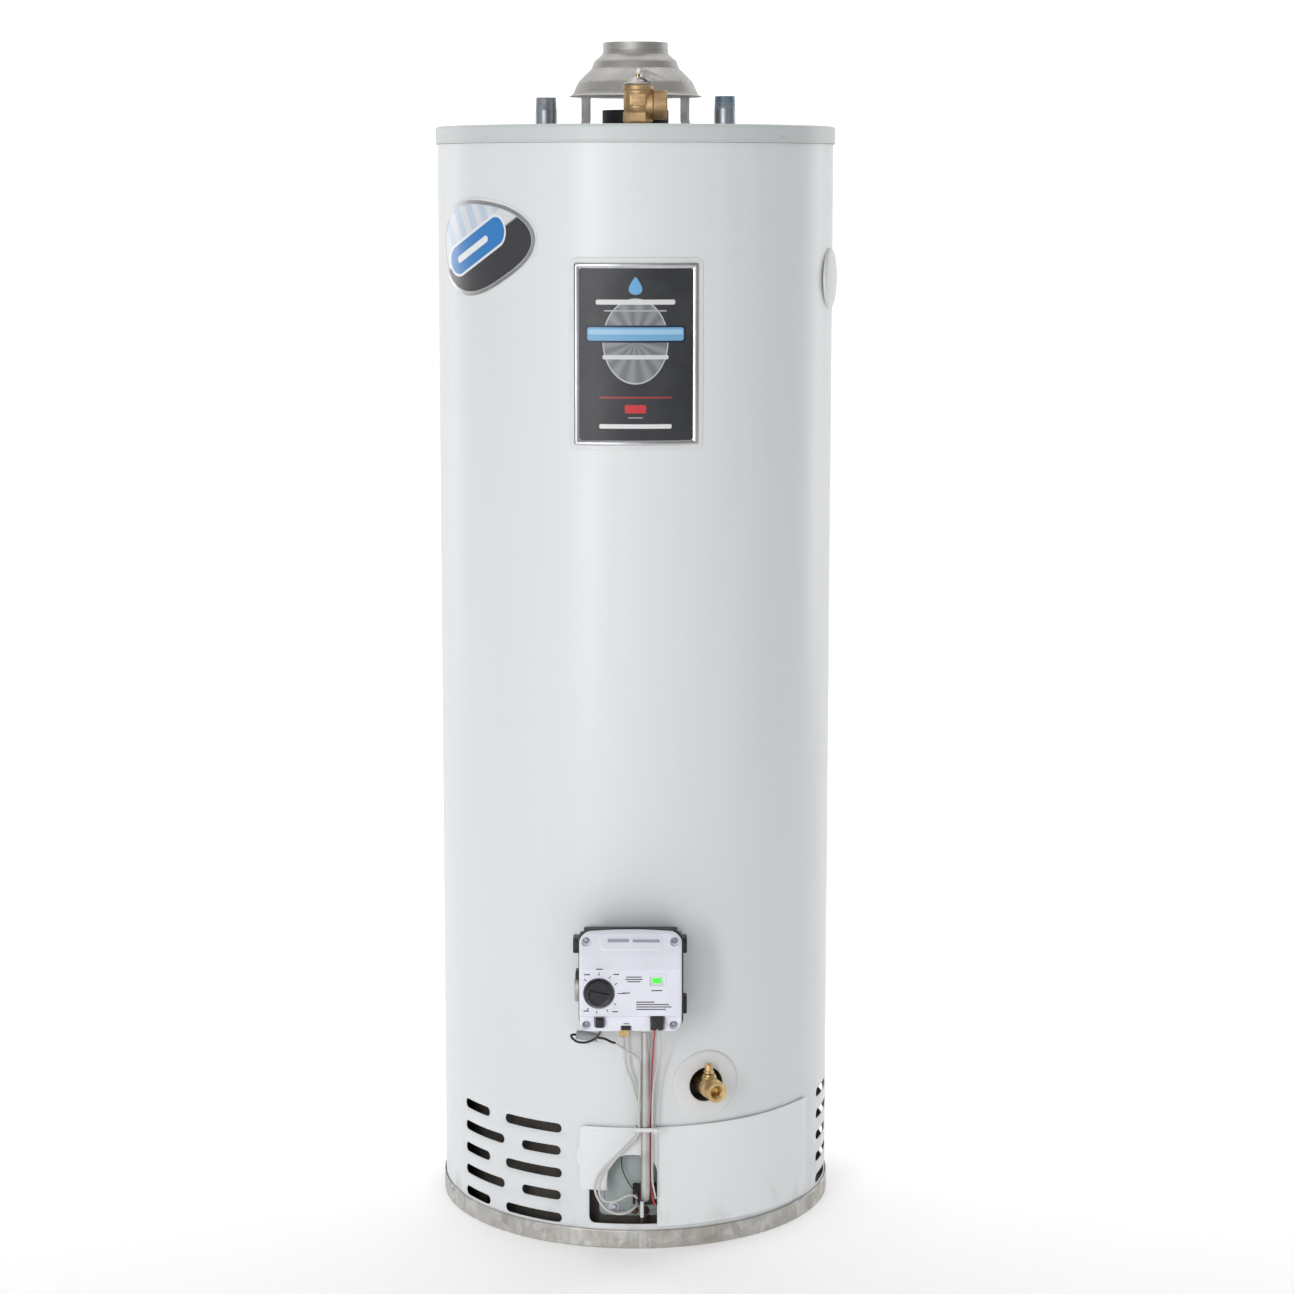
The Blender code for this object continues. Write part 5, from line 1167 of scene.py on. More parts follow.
def makeReliefValve():
    x, y, z = relief["at"]
    rng = np.random.default_rng(3)
    phases = rng.uniform(0, fullTurn, (6, 2))

    def rough(radius, angle, height):
        # cast skin: a few slow waves round and along the casting
        lumps = sum(np.sin((k + 2) * angle + a) * np.sin((k + 1) * 90 * height + b)
                    for k, (a, b) in enumerate(phases))
        return radius + np.where(radius > 0.0150, 0.00012 * lumps, 0)

    barrel = [(0.0142, 0.0236), (0.0188, 0.0240, 0.0006), (0.0193, 0.0228, 0.0004), (0.0193, 0.0186, 0.0008),
                          (0.0180, 0.0170, 0.001), (0.0178, -0.0040, 0.002), (0.0160, -0.0085, 0.002),
                          (0.0142, -0.0100, 0.001),
                          (0.0142, 0.0000, 0)]
    parts = [lathePart(barrel, True, 4, (x, y, z), sides=96, radiusOf=rough)]
    foot = softCorners([(0.0072, -0.0075), (0.0158, -0.0075, 0.0005), (0.0176, -0.0100, 0.001),
                        (0.0176, -0.0205, 0.001),
                        (0.0158, -0.0228, 0.0005), (0.0130, -0.0238, 0.001), (0.0112, -0.0244), (0.0112, -0.0400),
                        (0.0072, -0.0400)], True, 4)
    parts.append(shellPoints(latheRings(foot, (x, y, z), sides=96, radiusOf=lambda r, a, h: np.where(
        (h > -0.0232) & (h < -0.0072) & (r > 0.0120), hexRadius(r, a, h) * 1.06, r)), True))
    outlet = [(0.0118, 0.0060), (0.0150, 0.0060), (0.0158, 0.0180, 0.003), (0.0182, 0.0200, 0.001),
              (0.0182, 0.0352, 0.001),
                          (0.0172, 0.0366, 0.0006), (0.0126, 0.0366, 0.0004), (0.0118, 0.0356)]
    parts.append(lathePart(outlet, True, 4, (x, y, z), (1, 0, 0), 96, rough))
    inside = [(0.0010, 0.0050), (0.0140, 0.0050, 0.001), (0.0140, 0.0064), (0.0010, 0.0064)]
    parts.append(lathePart(inside, False, 3, (x, y, z), (1, 0, 0), 48))
    parts.append(roundBox((x - 0.0105, y - 0.0196, z - 0.0015), (x + 0.0098, y - 0.0150, z + 0.0132), 0.0009))
    parts.append(roundBox((x - 0.0080, y - 0.0202, z + 0.0015), (x + 0.0072, y - 0.0160, z + 0.0040), 0.0005))
    parts.append(roundBox((x - 0.0080, y - 0.0202, z + 0.0070), (x + 0.0050, y - 0.0160, z + 0.0092), 0.0005))
    meshPiece("reliefCasting", *joined(parts), "bronze", 40, closed=False, stands=("relief_body",))

    cone = [(0.0030, 0.0345, 0.0004), (0.0060, 0.0340, 0.001), (0.0100, 0.0312, 0.004), (0.0130, 0.0283, 0.002),
            (0.0178, 0.0266, 0.0008),
            (0.0183, 0.0250, 0.0005), (0.0170, 0.0236, 0.0004), (0.0134, 0.0236), (0.0120, 0.0242), (0.0110, 0.0250),
            (0.0030, 0.0310)]
    parts = [lathePart(cone, True, 5, (x, y, z), sides=96)]
    pin = np.array(relief["pin"])
    for side in (-1, 1):
        edge = sorted((y + side * 0.0034, y + side * 0.0048))
        parts.append(roundBox(np.array([pin[0] - 0.0012, edge[0], z + 0.0300]),
                              np.array([pin[0] + 0.0040, edge[1], z + 0.0424]), 0.0005))
    meshPiece("reliefCone", *joined(parts), "stainless", 40, closed=False, stands=("relief_bonnet",))
    lathe("leverPin", [(0.0002, -0.0068), (0.0009, -0.0068, 0.0002), (0.0009, 0.0068, 0.0002), (0.0002, 0.0068)],
          "rubber", sides=24,
          origin=pin, axis=(0, 1, 0), slot="stainless_steel", stands=("relief_pin",))

    section = softCorners([(-0.0064, -0.0036, 0.0006), (-0.0064, 0.0046, 0.0014), (0.0064, 0.0046, 0.0014),
                           (0.0064, -0.0036, 0.0006),
                           (0.0053, -0.0036, 0.0003), (0.0053, 0.0035, 0.0008), (-0.0053, 0.0035, 0.0008),
                           (-0.0053, -0.0036, 0.0003)], True, 4)
    along = np.concatenate([[0.0040, 0.0044], np.linspace(0.0055, 0.0290, 18), [0.0300, 0.0306]])
    nose = np.interp(along, [0.0040, 0.0055, 0.024, 0.0290, 0.0306], [0.94, 1, 0.94, 0.80, 0.55])
    waist = np.interp(along, [-0.006, 0.0, 0.012, 0.031], [1, 1, 0.88, 0.80])
    rings = np.stack(np.broadcast_arrays(
        along[:, None], section[None, :, 0] * waist[:, None],
        0.0046 + (section[None, :, 1] - 0.0046) * nose[:, None]), -1) + pin
    rings = turned(rings, relief["lean"], (0, 1, 0), pin)
    parts = [shellPoints(rings, False)]
    for side in (-1, 1):
        edge = sorted((side * 0.0053, side * 0.0064))
        cheek, faces = roundBox(pin + (-0.0058, edge[0], -0.0034), pin + (0.0052, edge[1], 0.0045), 0.0005)
        parts.append((turned(cheek, relief["lean"], (0, 1, 0), pin), faces))
    meshPiece("reliefHandle", *joined(parts), "stainless", 40, closed=False, body="relief_lever",
              stands=("relief_lever",))
    lathe("stemTip", [(0.0006, 0.0310), (0.0020, 0.0310), (0.0022, 0.0365, 0.0003), (0.0030, 0.0368, 0.0002),
                      (0.0030, 0.0388, 0.0004),
                      (0.0018, 0.0396, 0.0006), (0.0006, 0.0397)], "brass", sides=40, origin=(x, y, z),
                      body="relief_stem")


makeReliefValve()


# drain valve

drain = {"azimuth": 20.4, "high": 0.210, "stemRadius": 0.2640}


def makeDrainValve():
    way = outward(drain["azimuth"])
    origin = np.array([0, 0, drain["high"]])
    pitch = 0.0021

    def threaded(radius, angle, height):
        ridge = np.abs(np.mod(height / pitch - angle / fullTurn, 1) * 2 - 1)
        inThread = (height > 0.2800) & (height < 0.2914) & (radius > 0.0120)
        return np.where(inThread, radius - 0.0007 * ridge, radius)

    end = [(0.0132, z) for z in np.linspace(0.2798, 0.2916, 42)]
    nose = [(0.0060, 0.2740), (0.0108, 0.2740, 0.0004), (0.0110, 0.2786, 0.0006), (0.0134, 0.2790, 0.0003), *end,
            (0.0128, 0.2925, 0.0003), (0.0085, 0.2925, 0.0003), (0.0070, 0.2905, 0.0004), (0.0060, 0.2895, 0.0003)]
    parts = [lathePart(nose, True, 3, origin, way, 96, threaded)]
    nut = [(0.0060, 0.2480), (0.0118, 0.2484, 0.0004), (0.0136, 0.2500, 0.0006), (0.0138, 0.2690, 0.0006),
           (0.0126, 0.2748, 0.0012),
                       (0.0060, 0.2750)]
    parts.append(lathePart(nut, True, 3, origin, way, 96))
    neck = [(0.0056, 0.2150), (0.0108, 0.2150), (0.0108, 0.2500), (0.0056, 0.2500)]
    parts.append(lathePart(neck, True, 3, origin, way, 48))
    plugDisc = [(0.0006, 0.2745), (0.0075, 0.2745, 0.0002), (0.0075, 0.2800, 0.0002), (0.0006, 0.2812, 0.001)]
    parts.append(lathePart(plugDisc, False, 3, origin, way, 48))
    at = way * drain["stemRadius"] + np.array([0, 0, drain["high"]])
    bonnet = [(0.0046, 0.0060), (0.0096, 0.0060), (0.0096, 0.0130, 0.0008), (0.0084, 0.0146, 0.0006),
              (0.0080, 0.0164, 0.0005), (0.0046, 0.0166)]
    parts.append(lathePart(bonnet, True, 3, at, (0, 0, 1), 64))
    meshPiece("drainBody", *joined(parts), "brass", 40, closed=False, stands=("drain_valve_body",))

    stem = [(0.0004, 0.0100), (0.0042, 0.0100), (0.0042, 0.0170, 0.0002), (0.0066, 0.0172, 0.0003),
            (0.0066, 0.0198, 0.0004),
                        (0.0050, 0.0206, 0.0003), (0.0050, 0.0268, 0.0006), (0.0046, 0.0272, 0.0003),
                        (0.0004, 0.0272)]
    parts = [lathePart(stem, False, 3, at, (0, 0, 1), 64)]
    cheek = way * 0.0028
    for side in (-1, 1):
        middle = at + side * cheek
        shape = softCorners([(0.0003, 0.0262), (0.0020, 0.0262), (0.0020, 0.0286, 0.0004), (0.0003, 0.0290)], False,
                            3)
        rings = latheRings(shape, (0, 0, 0), (0, 0, 1), 32)
        cross = np.array([-way[1], way[0], 0])
        rings = (rings[..., 0:1] * cross * 1.9 + rings[..., 1:2] * way * 0.95 + rings[...,
            2:3] * np.array([0, 0, 1])) + middle
        parts.append(shellPoints(rings, False))
    meshPiece("drainSpindle", *joined(parts), "brass", 40, closed=False, body="drain_stem", stands=("drain_stem",))


makeDrainValve()
print("valves made")


# gas control

control = {"left": -0.0687, "right": 0.0566, "foot": 0.302, "head": 0.429, "corner": 0.0135,
           "knob": (-0.0444, 0.355), "knobRadius": 0.0168, "button": (-0.0438, 0.3165),
           "screws": ((-0.0602, 0.4170), (0.0480, 0.4170), (-0.0600, 0.3115), (0.0470, 0.3115)),
           "window": (0.0261, 0.3705), "gridStep": 0.00056}
coverFront = ((0.3005, -0.3185), (0.3035, -0.3215), (0.3230, -0.3270), (0.3265, -0.3358), (0.3840, -0.3360),
              (0.4020, -0.3292),
              (0.4055, -0.3275), (0.4275, -0.3165), (0.4310, -0.3140))


def ease(value, low, high):
    t = np.clip((value - low) / (high - low), 0, 1)
    return t * t * (3 - 2 * t)


def roundedBoxDistance(x, z, low, high, corner):
    # signed distance from a rounded rectangle, negative inside
    middle, half = (np.array(low) + high) / 2, (np.array(high) - low) / 2 - corner
    dx, dz = np.abs(x - middle[0]) - half[0], np.abs(z - middle[1]) - half[1]
    return np.hypot(np.maximum(dx, 0), np.maximum(dz, 0)) + np.minimum(np.maximum(dx, dz), 0) - corner


def coverDepth(x, z):
    # y of the moulded front: the side profile, rolled off at the outline, less each recess
    profile = np.array(coverFront)
    fine = np.linspace(profile[0, 0], profile[-1, 0], 400)
    line = np.interp(fine, profile[:, 0], profile[:, 1])
    kernel = np.exp(-(np.arange(-8, 9) / 3.0) ** 2)
    line = np.convolve(np.pad(line, 8, "edge"), kernel / kernel.sum(), "valid")
    y = np.interp(z, fine, line)
    inside = -roundedBoxDistance(x, z, (control["left"], control["foot"]), (control["right"], control["head"]),
                                 control["corner"])
    roll = 0.0035
    y = y + roll * (1 - np.sqrt(np.clip(1 - (1 - np.clip(inside / roll, 0, 1)) ** 2, 0, 1)))
    kx, kz = control["knob"]
    fromKnob = np.hypot(x - kx, z - kz)
    y = np.where(fromKnob < 0.0215, y + 0.0098 * (1 - ease(fromKnob, 0.0181, 0.0190)), y)
    y = y - 0.0006 * np.exp(-((fromKnob - 0.0202) / 0.0007) ** 2)
    bx, bz = control["button"]
    button = roundedBoxDistance(x, z, (bx - 0.0062, bz - 0.0070), (bx + 0.0062, bz + 0.0062), 0.001)
    y = y + 0.0078 * (1 - ease(button, -0.0003, 0.0006))
    wx, wz = control["window"]
    bezel = roundedBoxDistance(x, z, (wx - 0.0105, wz - 0.0083), (wx + 0.0105, wz + 0.0083), 0.0012)
    y = y - 0.0007 * (1 - ease(bezel, 0.0, 0.0006)) + 0.0007 * (1 - ease(bezel, -0.0018, -0.0012))
    pane = roundedBoxDistance(x, z, (wx - 0.0076, wz - 0.0052), (wx + 0.0076, wz + 0.0052), 0.0008)
    y = y + 0.0022 * (1 - ease(pane, -0.0002, 0.0005))
    for sx, sz in control["screws"]:
        pocket = np.hypot(x - sx, z - sz)
        floor = -0.3182 if sz > 0.36 else -0.3176
        y = np.where(pocket < 0.0070, y + (np.maximum(y, floor) - y) * (1 - ease(pocket, 0.0048, 0.0056)), y)
        y = y - 0.0005 * np.exp(-((pocket - 0.0062) / 0.0006) ** 2)
    for low, high, depth in (((-0.0180, 0.2950), (-0.0052, 0.3104), 0.009),
                             ((0.0183, 0.2950), (0.0349, 0.3254), 0.0135)):
        notch = roundedBoxDistance(x, z, low, high, 0.0010)
        y = y + depth * (1 - ease(notch, -0.0003, 0.0006))
    groove = roundedBoxDistance(x, z, (-0.0660, 0.3290), (0.0540, 0.3815), 0.006)
    y = y + 0.0003 * np.exp(-(groove / 0.0006) ** 2)
    bridge = roundedBoxDistance(x, z, (-0.0440, 0.4070), (0.0330, 0.4260), 0.007)
    y = y - 0.0009 * (1 - ease(bridge, -0.0012, 0.0008))
    return y


def makeCover():
    # a square grid pulled to a rounded rectangle, lifted to the moulded front, with a skirt behind
    left, right, foot, head = (control[k] for k in ("left", "right", "foot", "head"))
    step, corner = control["gridStep"], control["corner"]
    nx, nz = int((right - left) / step), int((head - foot) / step)
    u, v = np.meshgrid(np.linspace(-1, 1, nx), np.linspace(-1, 1, nz), indexing="xy")
    halfX, halfZ = (right - left) / 2, (head - foot) / 2
    x, z = u * halfX, v * halfZ
    cx, cz = np.abs(x) - (halfX - corner), np.abs(z) - (halfZ - corner)
    inCorner = (cx > 0) & (cz > 0)
    reach = np.hypot(cx, cz)
    square = np.maximum(cx, cz)
    pull = np.where(inCorner, square / np.maximum(reach, 1e-9), 1)
    x = np.where(inCorner, np.sign(x) * (halfX - corner + cx * pull), x) + (left + right) / 2
    z = np.where(inCorner, np.sign(z) * (halfZ - corner + cz * pull), z) + (foot + head) / 2
    crown = -0.0032 * ((x - (left + right) / 2) / halfX) ** 2 * ease(z, 0.400, head)
    points = np.stack([x, coverDepth(x, z), z + crown], -1)
    total = nx * nz
    i, j = np.meshgrid(np.arange(nz - 1), np.arange(nx - 1), indexing="ij")
    quads = np.stack([i * nx + j, i * nx + j + 1, (i + 1) * nx + j + 1, (i + 1) * nx + j], -1).reshape(-1, 4)
    rim = np.concatenate([np.arange(nx - 1), np.arange(nz - 1) * nx + nx - 1,
                          (nz - 1) * nx + np.arange(nx - 1, 0, -1),
                          np.arange(nz - 1, 0, -1) * nx])
    flat = points.reshape(-1, 3)
    edge = flat[rim]
    middle = np.array([(left + right) / 2, 0, (foot + head) / 2])
    skirt, depths = [], (-0.3130, -0.3030, -0.2850, -0.2846)
    for k, depth in enumerate(depths):
        ring = edge.copy()
        ring[:, 1] = np.maximum(ring[:, 1], depth) if k == 0 else depth
        ring[:, 2] -= 0.40 * (ring[:, 1] + 0.3140) * ease(ring[:, 2], 0.400, head)
        skirt.append(ring)
    inner = (skirt[-1] - middle) * np.array([0.965, 1, 0.965]) + middle
    inner[:, 1] = -0.2850
    deep = inner.copy()
    deep[:, 1] = -0.3100
    skirt += [inner, deep]
    rows = [rim]
    start = total
    for ring in skirt:
        rows.append(start + np.arange(len(ring)))
        start += len(ring)
    n = len(rim)
    k = np.arange(n)
    k1 = (k + 1) % n
    walls = [np.stack([a[k1], a[k], b[k], b[k1]], -1) for a, b in zip(rows, rows[1:])]
    centre = np.array([[middle[0], -0.3100, middle[2]]])
    fan = np.stack([rows[-1][k1], rows[-1][k], np.full(n, start)], -1)
    meshPiece("controlShell", np.vstack([flat, *skirt, centre]), [np.vstack([quads, *walls]), fan], "cover", 60,
              slot="control_plastic", stands=("control_cover",))


makeCover()


def barsOnFront(name, bars, look, lift=0.00025, depthAt=coverDepth, slot="black_plastic", body="heater"):
    # thin printed bars, each a low box that follows the moulded front: (x, z, degrees, length, width)
    parts = []
    for x, z, degrees, length, width in bars:
        steps = max(3, int(length / 0.0015))
        u = np.linspace(-length / 2, length / 2, steps)
        section = np.array([(-1, -0.5), (-1, 0.8), (-0.8, 1), (0.8, 1), (1, 0.8), (1, -0.5)])
        angle = math.radians(degrees)
        a = u[:, None] * math.cos(angle) - section[None, :, 0] * width / 2 * math.sin(angle) + x
        b = u[:, None] * math.sin(angle) + section[None, :, 0] * width / 2 * math.cos(angle) + z
        y = np.broadcast_to(depthAt(u * math.cos(angle) + x, u * math.sin(angle) + z)[:, None], a.shape)
        parts.append(shellPoints(np.stack([a, y - section[None, :, 1] * lift, b], -1), False))
    return meshPiece(name, *joined(parts), look, 30, closed=False, body=body, slot=slot)


def makePrint():
    kx, kz = control["knob"]
    bars = []
    for degrees, far in ((135, 0.0255), (90, 0.0265), (57, 0.0258), (30, 0.0255), (0, 0.0330), (-35, 0.0255),
                         (-65, 0.0255), (-97, 0.0255), (-125, 0.0255)):
        near = 0.0222
        middle, angle = (near + far) / 2, math.radians(degrees)
        bars.append((kx + middle * math.cos(angle), kz + middle * math.sin(angle), degrees, far - near, 0.0010))
    bars += [(-0.0590, 0.3785, 0, 0.0070, 0.0013), (-0.0440, 0.3852, 0, 0.0080, 0.0013),
             (-0.0235, 0.3790, 0, 0.0070, 0.0013),
             (-0.0115, 0.3555, 0, 0.0095, 0.0013), (-0.0600, 0.3328, 0, 0.0070, 0.0013),
             (-0.0250, 0.3320, 0, 0.0070, 0.0013)]
    barsOnFront("dialMarks", bars, "ink")
    lines = [(-0.0020, 0.3755 - 0.0029 * k, 0, length, 0.0012) for k, length in enumerate((0.0190, 0.0215, 0.0160))]
    lines += [(0.0010 + 0.5 * length, 0.3440 - 0.0030 * k, 0, length, 0.0012)
              for k, length in enumerate((0.0220, 0.0400, 0.0430, 0.0360))]
    lines += [(0.0261, 0.3585, 0, 0.0130, 0.0013), (-0.0110, 0.3135, 0, 0.0070, 0.0012)]
    barsOnFront("frontLines", lines, "ink")
    barsOnFront("headBars", [(-0.0210, 0.4165, 0, 0.0260, 0.0058), (0.0130, 0.4165, 0, 0.0330, 0.0046)], "paleInk",
                0.0004)


makePrint()


def makeKnob():
    # polar grid: a raised rim, a dished face and a wedge that narrows to the right
    kx, kz = control["knob"]
    radius = control["knobRadius"]
    r = np.concatenate([np.linspace(0.0001, radius - 0.0034, 22), np.linspace(radius - 0.0030, radius - 0.0012, 8),
                        [radius - 0.0008, radius - 0.0004, radius - 0.0001, radius]])
    t = np.linspace(0, fullTurn, 128, endpoint=False)
    rr, tt = np.meshgrid(r, t, indexing="ij")
    back, face = -0.3310, -0.3432
    y = face + 0.0006 * (1 - ease(rr, radius - 0.0045, radius - 0.0036))
    y = y + 0.0090 * ease(rr, radius - 0.0030, radius + 0.0004) ** 1.4
    a, b = rr * np.cos(tt), rr * np.sin(tt)
    width = 0.0058 - 0.0052 * np.clip((a + 0.0110) / 0.0245, 0, 1)
    wedge = (1 - ease(np.abs(b), width - 0.0006, width)) * ease(a, -0.0118, -0.0110) * (1 - ease(a, 0.0132, 0.0138))
    y = y - 0.0022 * wedge
    ribs = 0.00022 * np.cos(tt * 40) * (rr > radius - 0.0007)
    front = np.stack([kx + (rr + ribs) * np.cos(tt), y, kz + (rr + ribs) * np.sin(tt)], -1)
    behind = [np.stack([kx + q * np.cos(t), np.full_like(t, d), kz + q * np.sin(t)], -1)
              for q, d in ((radius, back - 0.0008), (radius - 0.0006, back), (0.0050, back))]
    rings = np.concatenate([front, np.array(behind)])
    meshPiece("dialCap", *shellPoints(rings, False), "knob", 40, body="dial_knob", stands=("dial_knob",))
    mark = [(kx + 0.0080, kz, 0, 0.0090, 0.0006)]
    barsOnFront("dialPointer", mark, "ink", 0.0002, lambda x, z: np.full_like(x, face - 0.0022), "black_plastic",
                "dial_knob")


makeKnob()


def makeControlTrim():
    bx, bz = control["button"]
    boxPiece("lightButton", (bx - 0.0050, -0.3342, bz - 0.0058), (bx + 0.0050, -0.3240, bz + 0.0050), "black", 0.0012,
             body="igniter_button", stands=("igniter_button",))
    wx, wz = control["window"]
    boxPiece("statusPane", (wx - 0.0072, -0.3345, wz - 0.0050), (wx + 0.0072, -0.3322, wz + 0.0050), "white", 0.0006)
    boxPiece("statusLight", (wx - 0.0055, -0.3352, wz - 0.0034), (wx + 0.0055, -0.3330, wz + 0.0034), "glow", 0.0009,
             slot="green_lens", stands=("status_lens",))
    boxPiece("portPlug", (-0.0172, -0.3150, 0.3022), (-0.0060, -0.3060, 0.3098), "black", 0.0008,
             stands=("com_socket",))
    parts = [roundBox((0.0188, -0.3345, 0.3098), (0.0344, -0.3184, 0.3250), 0.0008)]
    for x in (0.0228, 0.0304):
        parts.append(roundBox((x - 0.0026, -0.3353, 0.3180), (x + 0.0026, -0.3330, 0.3236), 0.0005))
        parts.append(roundBox((x - 0.0028, -0.3325, 0.3072), (x + 0.0028, -0.3205, 0.3110), 0.0006))
    meshPiece("leadPlug", *joined(parts), "black", 40, closed=False, stands=("lead_connector",))
    for i, (x, z) in enumerate(control["screws"]):
        depth = 0.3183 if z > 0.36 else 0.3177
        head = [(0.0012, depth), (0.0040, depth, 0.0002), (0.0040, depth + 0.0010, 0.0006),
                (0.0022, depth + 0.0024, 0.0008),
                (0.0013, depth + 0.0025, 0.0001), (0.0011, depth + 0.0010, 0.0001), (0.0004, depth + 0.0010)]
        lathe(f"coverScrew{i + 1}", head, "screw", sides=48, origin=(x, 0, z), axis=(0, -1, 0),
              stands=(f"cover_screw_{i + 1}",))
    parts = []
    for low, high in (
        ((-0.0650, -0.3040, 0.3050), (0.0530, -0.2850, 0.4170)),
        ((-0.0690, -0.2850, 0.3010), (0.0572, -0.2650, 0.4150)),
        ((-0.0772, -0.2900, 0.3926), (-0.0600, -0.2640, 0.4110)),
        ((0.0500, -0.2840, 0.3910), (0.0638, -0.2640, 0.4110)),
        ((0.0500, -0.2840, 0.3140), (0.0638, -0.2640, 0.3360)),
        ((-0.0738, -0.2990, 0.3618), (-0.0650, -0.2800, 0.3722)),
        ((-0.0640, -0.2680, 0.3080), (0.0520, -0.2540, 0.4180)),
    ):
        parts.append(roundBox(low, high, 0.0022))
    rim = roundedLoop(control["right"] - control["left"] + 0.0034, control["head"] - control["foot"] + 0.0010, 0.0150,
                      12, 240)
    centre = np.array([(control["left"] + control["right"]) / 2 + 0.0005, (control["foot"] + control["head"]) / 2])
    seal = []
    for inset, y in ((0.0004, -0.3088), (0, -0.3082), (0, -0.3040), (0.0004, -0.3034), (0.0050, -0.3034),
                     (0.0050, -0.3088)):
        ring = insetLoop(rim, inset) + centre
        sag = 0.0032 * ((ring[:, 0] - centre[0]) / 0.0627) ** 2 * ease(ring[:, 1], 0.400, 0.429)
        seal.append(np.column_stack([ring[:, 0], np.full(len(ring), y), ring[:, 1] - sag]))
    parts.append(shellPoints(np.array(seal), True))
    meshPiece("controlBack", *joined(parts), "black", 40, closed=False, stands=("control_body",))
    origin = (0, -0.2840, 0.3490)
    boss = [(0.0093, 0.0480), (0.0150, 0.0480), (0.0150, 0.0640, 0.0006), (0.0182, 0.0650, 0.0010),
            (0.0182, 0.0740, 0.0010),
            (0.0172, 0.0752, 0.0005), (0.0104, 0.0752, 0.0004), (0.0093, 0.0742)]
    lathe("gasBoss", boss, "tube", True, 4, sides=96, origin=origin, axis=(-1, 0, 0), stands=("gas_inlet",))
    nut = [(0.0060, 0.3010), (0.0078, 0.3010, 0.0003), (0.0112, 0.2996, 0.0006), (0.0112, 0.2890, 0.0006),
           (0.0090, 0.2872, 0.0005), (0.0060, 0.2868)]
    lathe("feedNut", nut, "stainless", True, 3, sides=96, origin=(0.0124, -0.268, 0), radiusOf=hexRadius,
          stands=("feed_nut",))
    parts = [roundBox((-0.0210 + 0.0031 * k, -0.2840 - 0.0005 * (k % 2), 0.2846),
                      (-0.0178 + 0.0031 * k, -0.2640, 0.3010), 0.0008)
             for k in range(4)]
    parts.append(lathePart([(0.0010, 0.2810), (0.0036, 0.2810, 0.0004), (0.0048, 0.2830, 0.0005), (0.0048, 0.2880),
                            (0.0010, 0.2880)], False, 3,
                                        (-0.0152, -0.2710, 0), sides=60, radiusOf=hexRadius))
    meshPiece("pilotNut", *joined(parts), "brass", 40, closed=False, stands=("pilot_fitting",))


makeControlTrim()
print("control made")


# tubes and leads

lines = {"feedRadius": 0.0057, "pilotY": -0.112, "entryY": (-0.2490, -0.2430, -0.2220, -0.2160)}


def entry(x, z):
    return [(x, y, z) for y in lines["entryY"]]


def upright(x, top):
    return [(x, lines["pilotY"], top - drop) for drop in (0.0100, 0.0050, 0)]


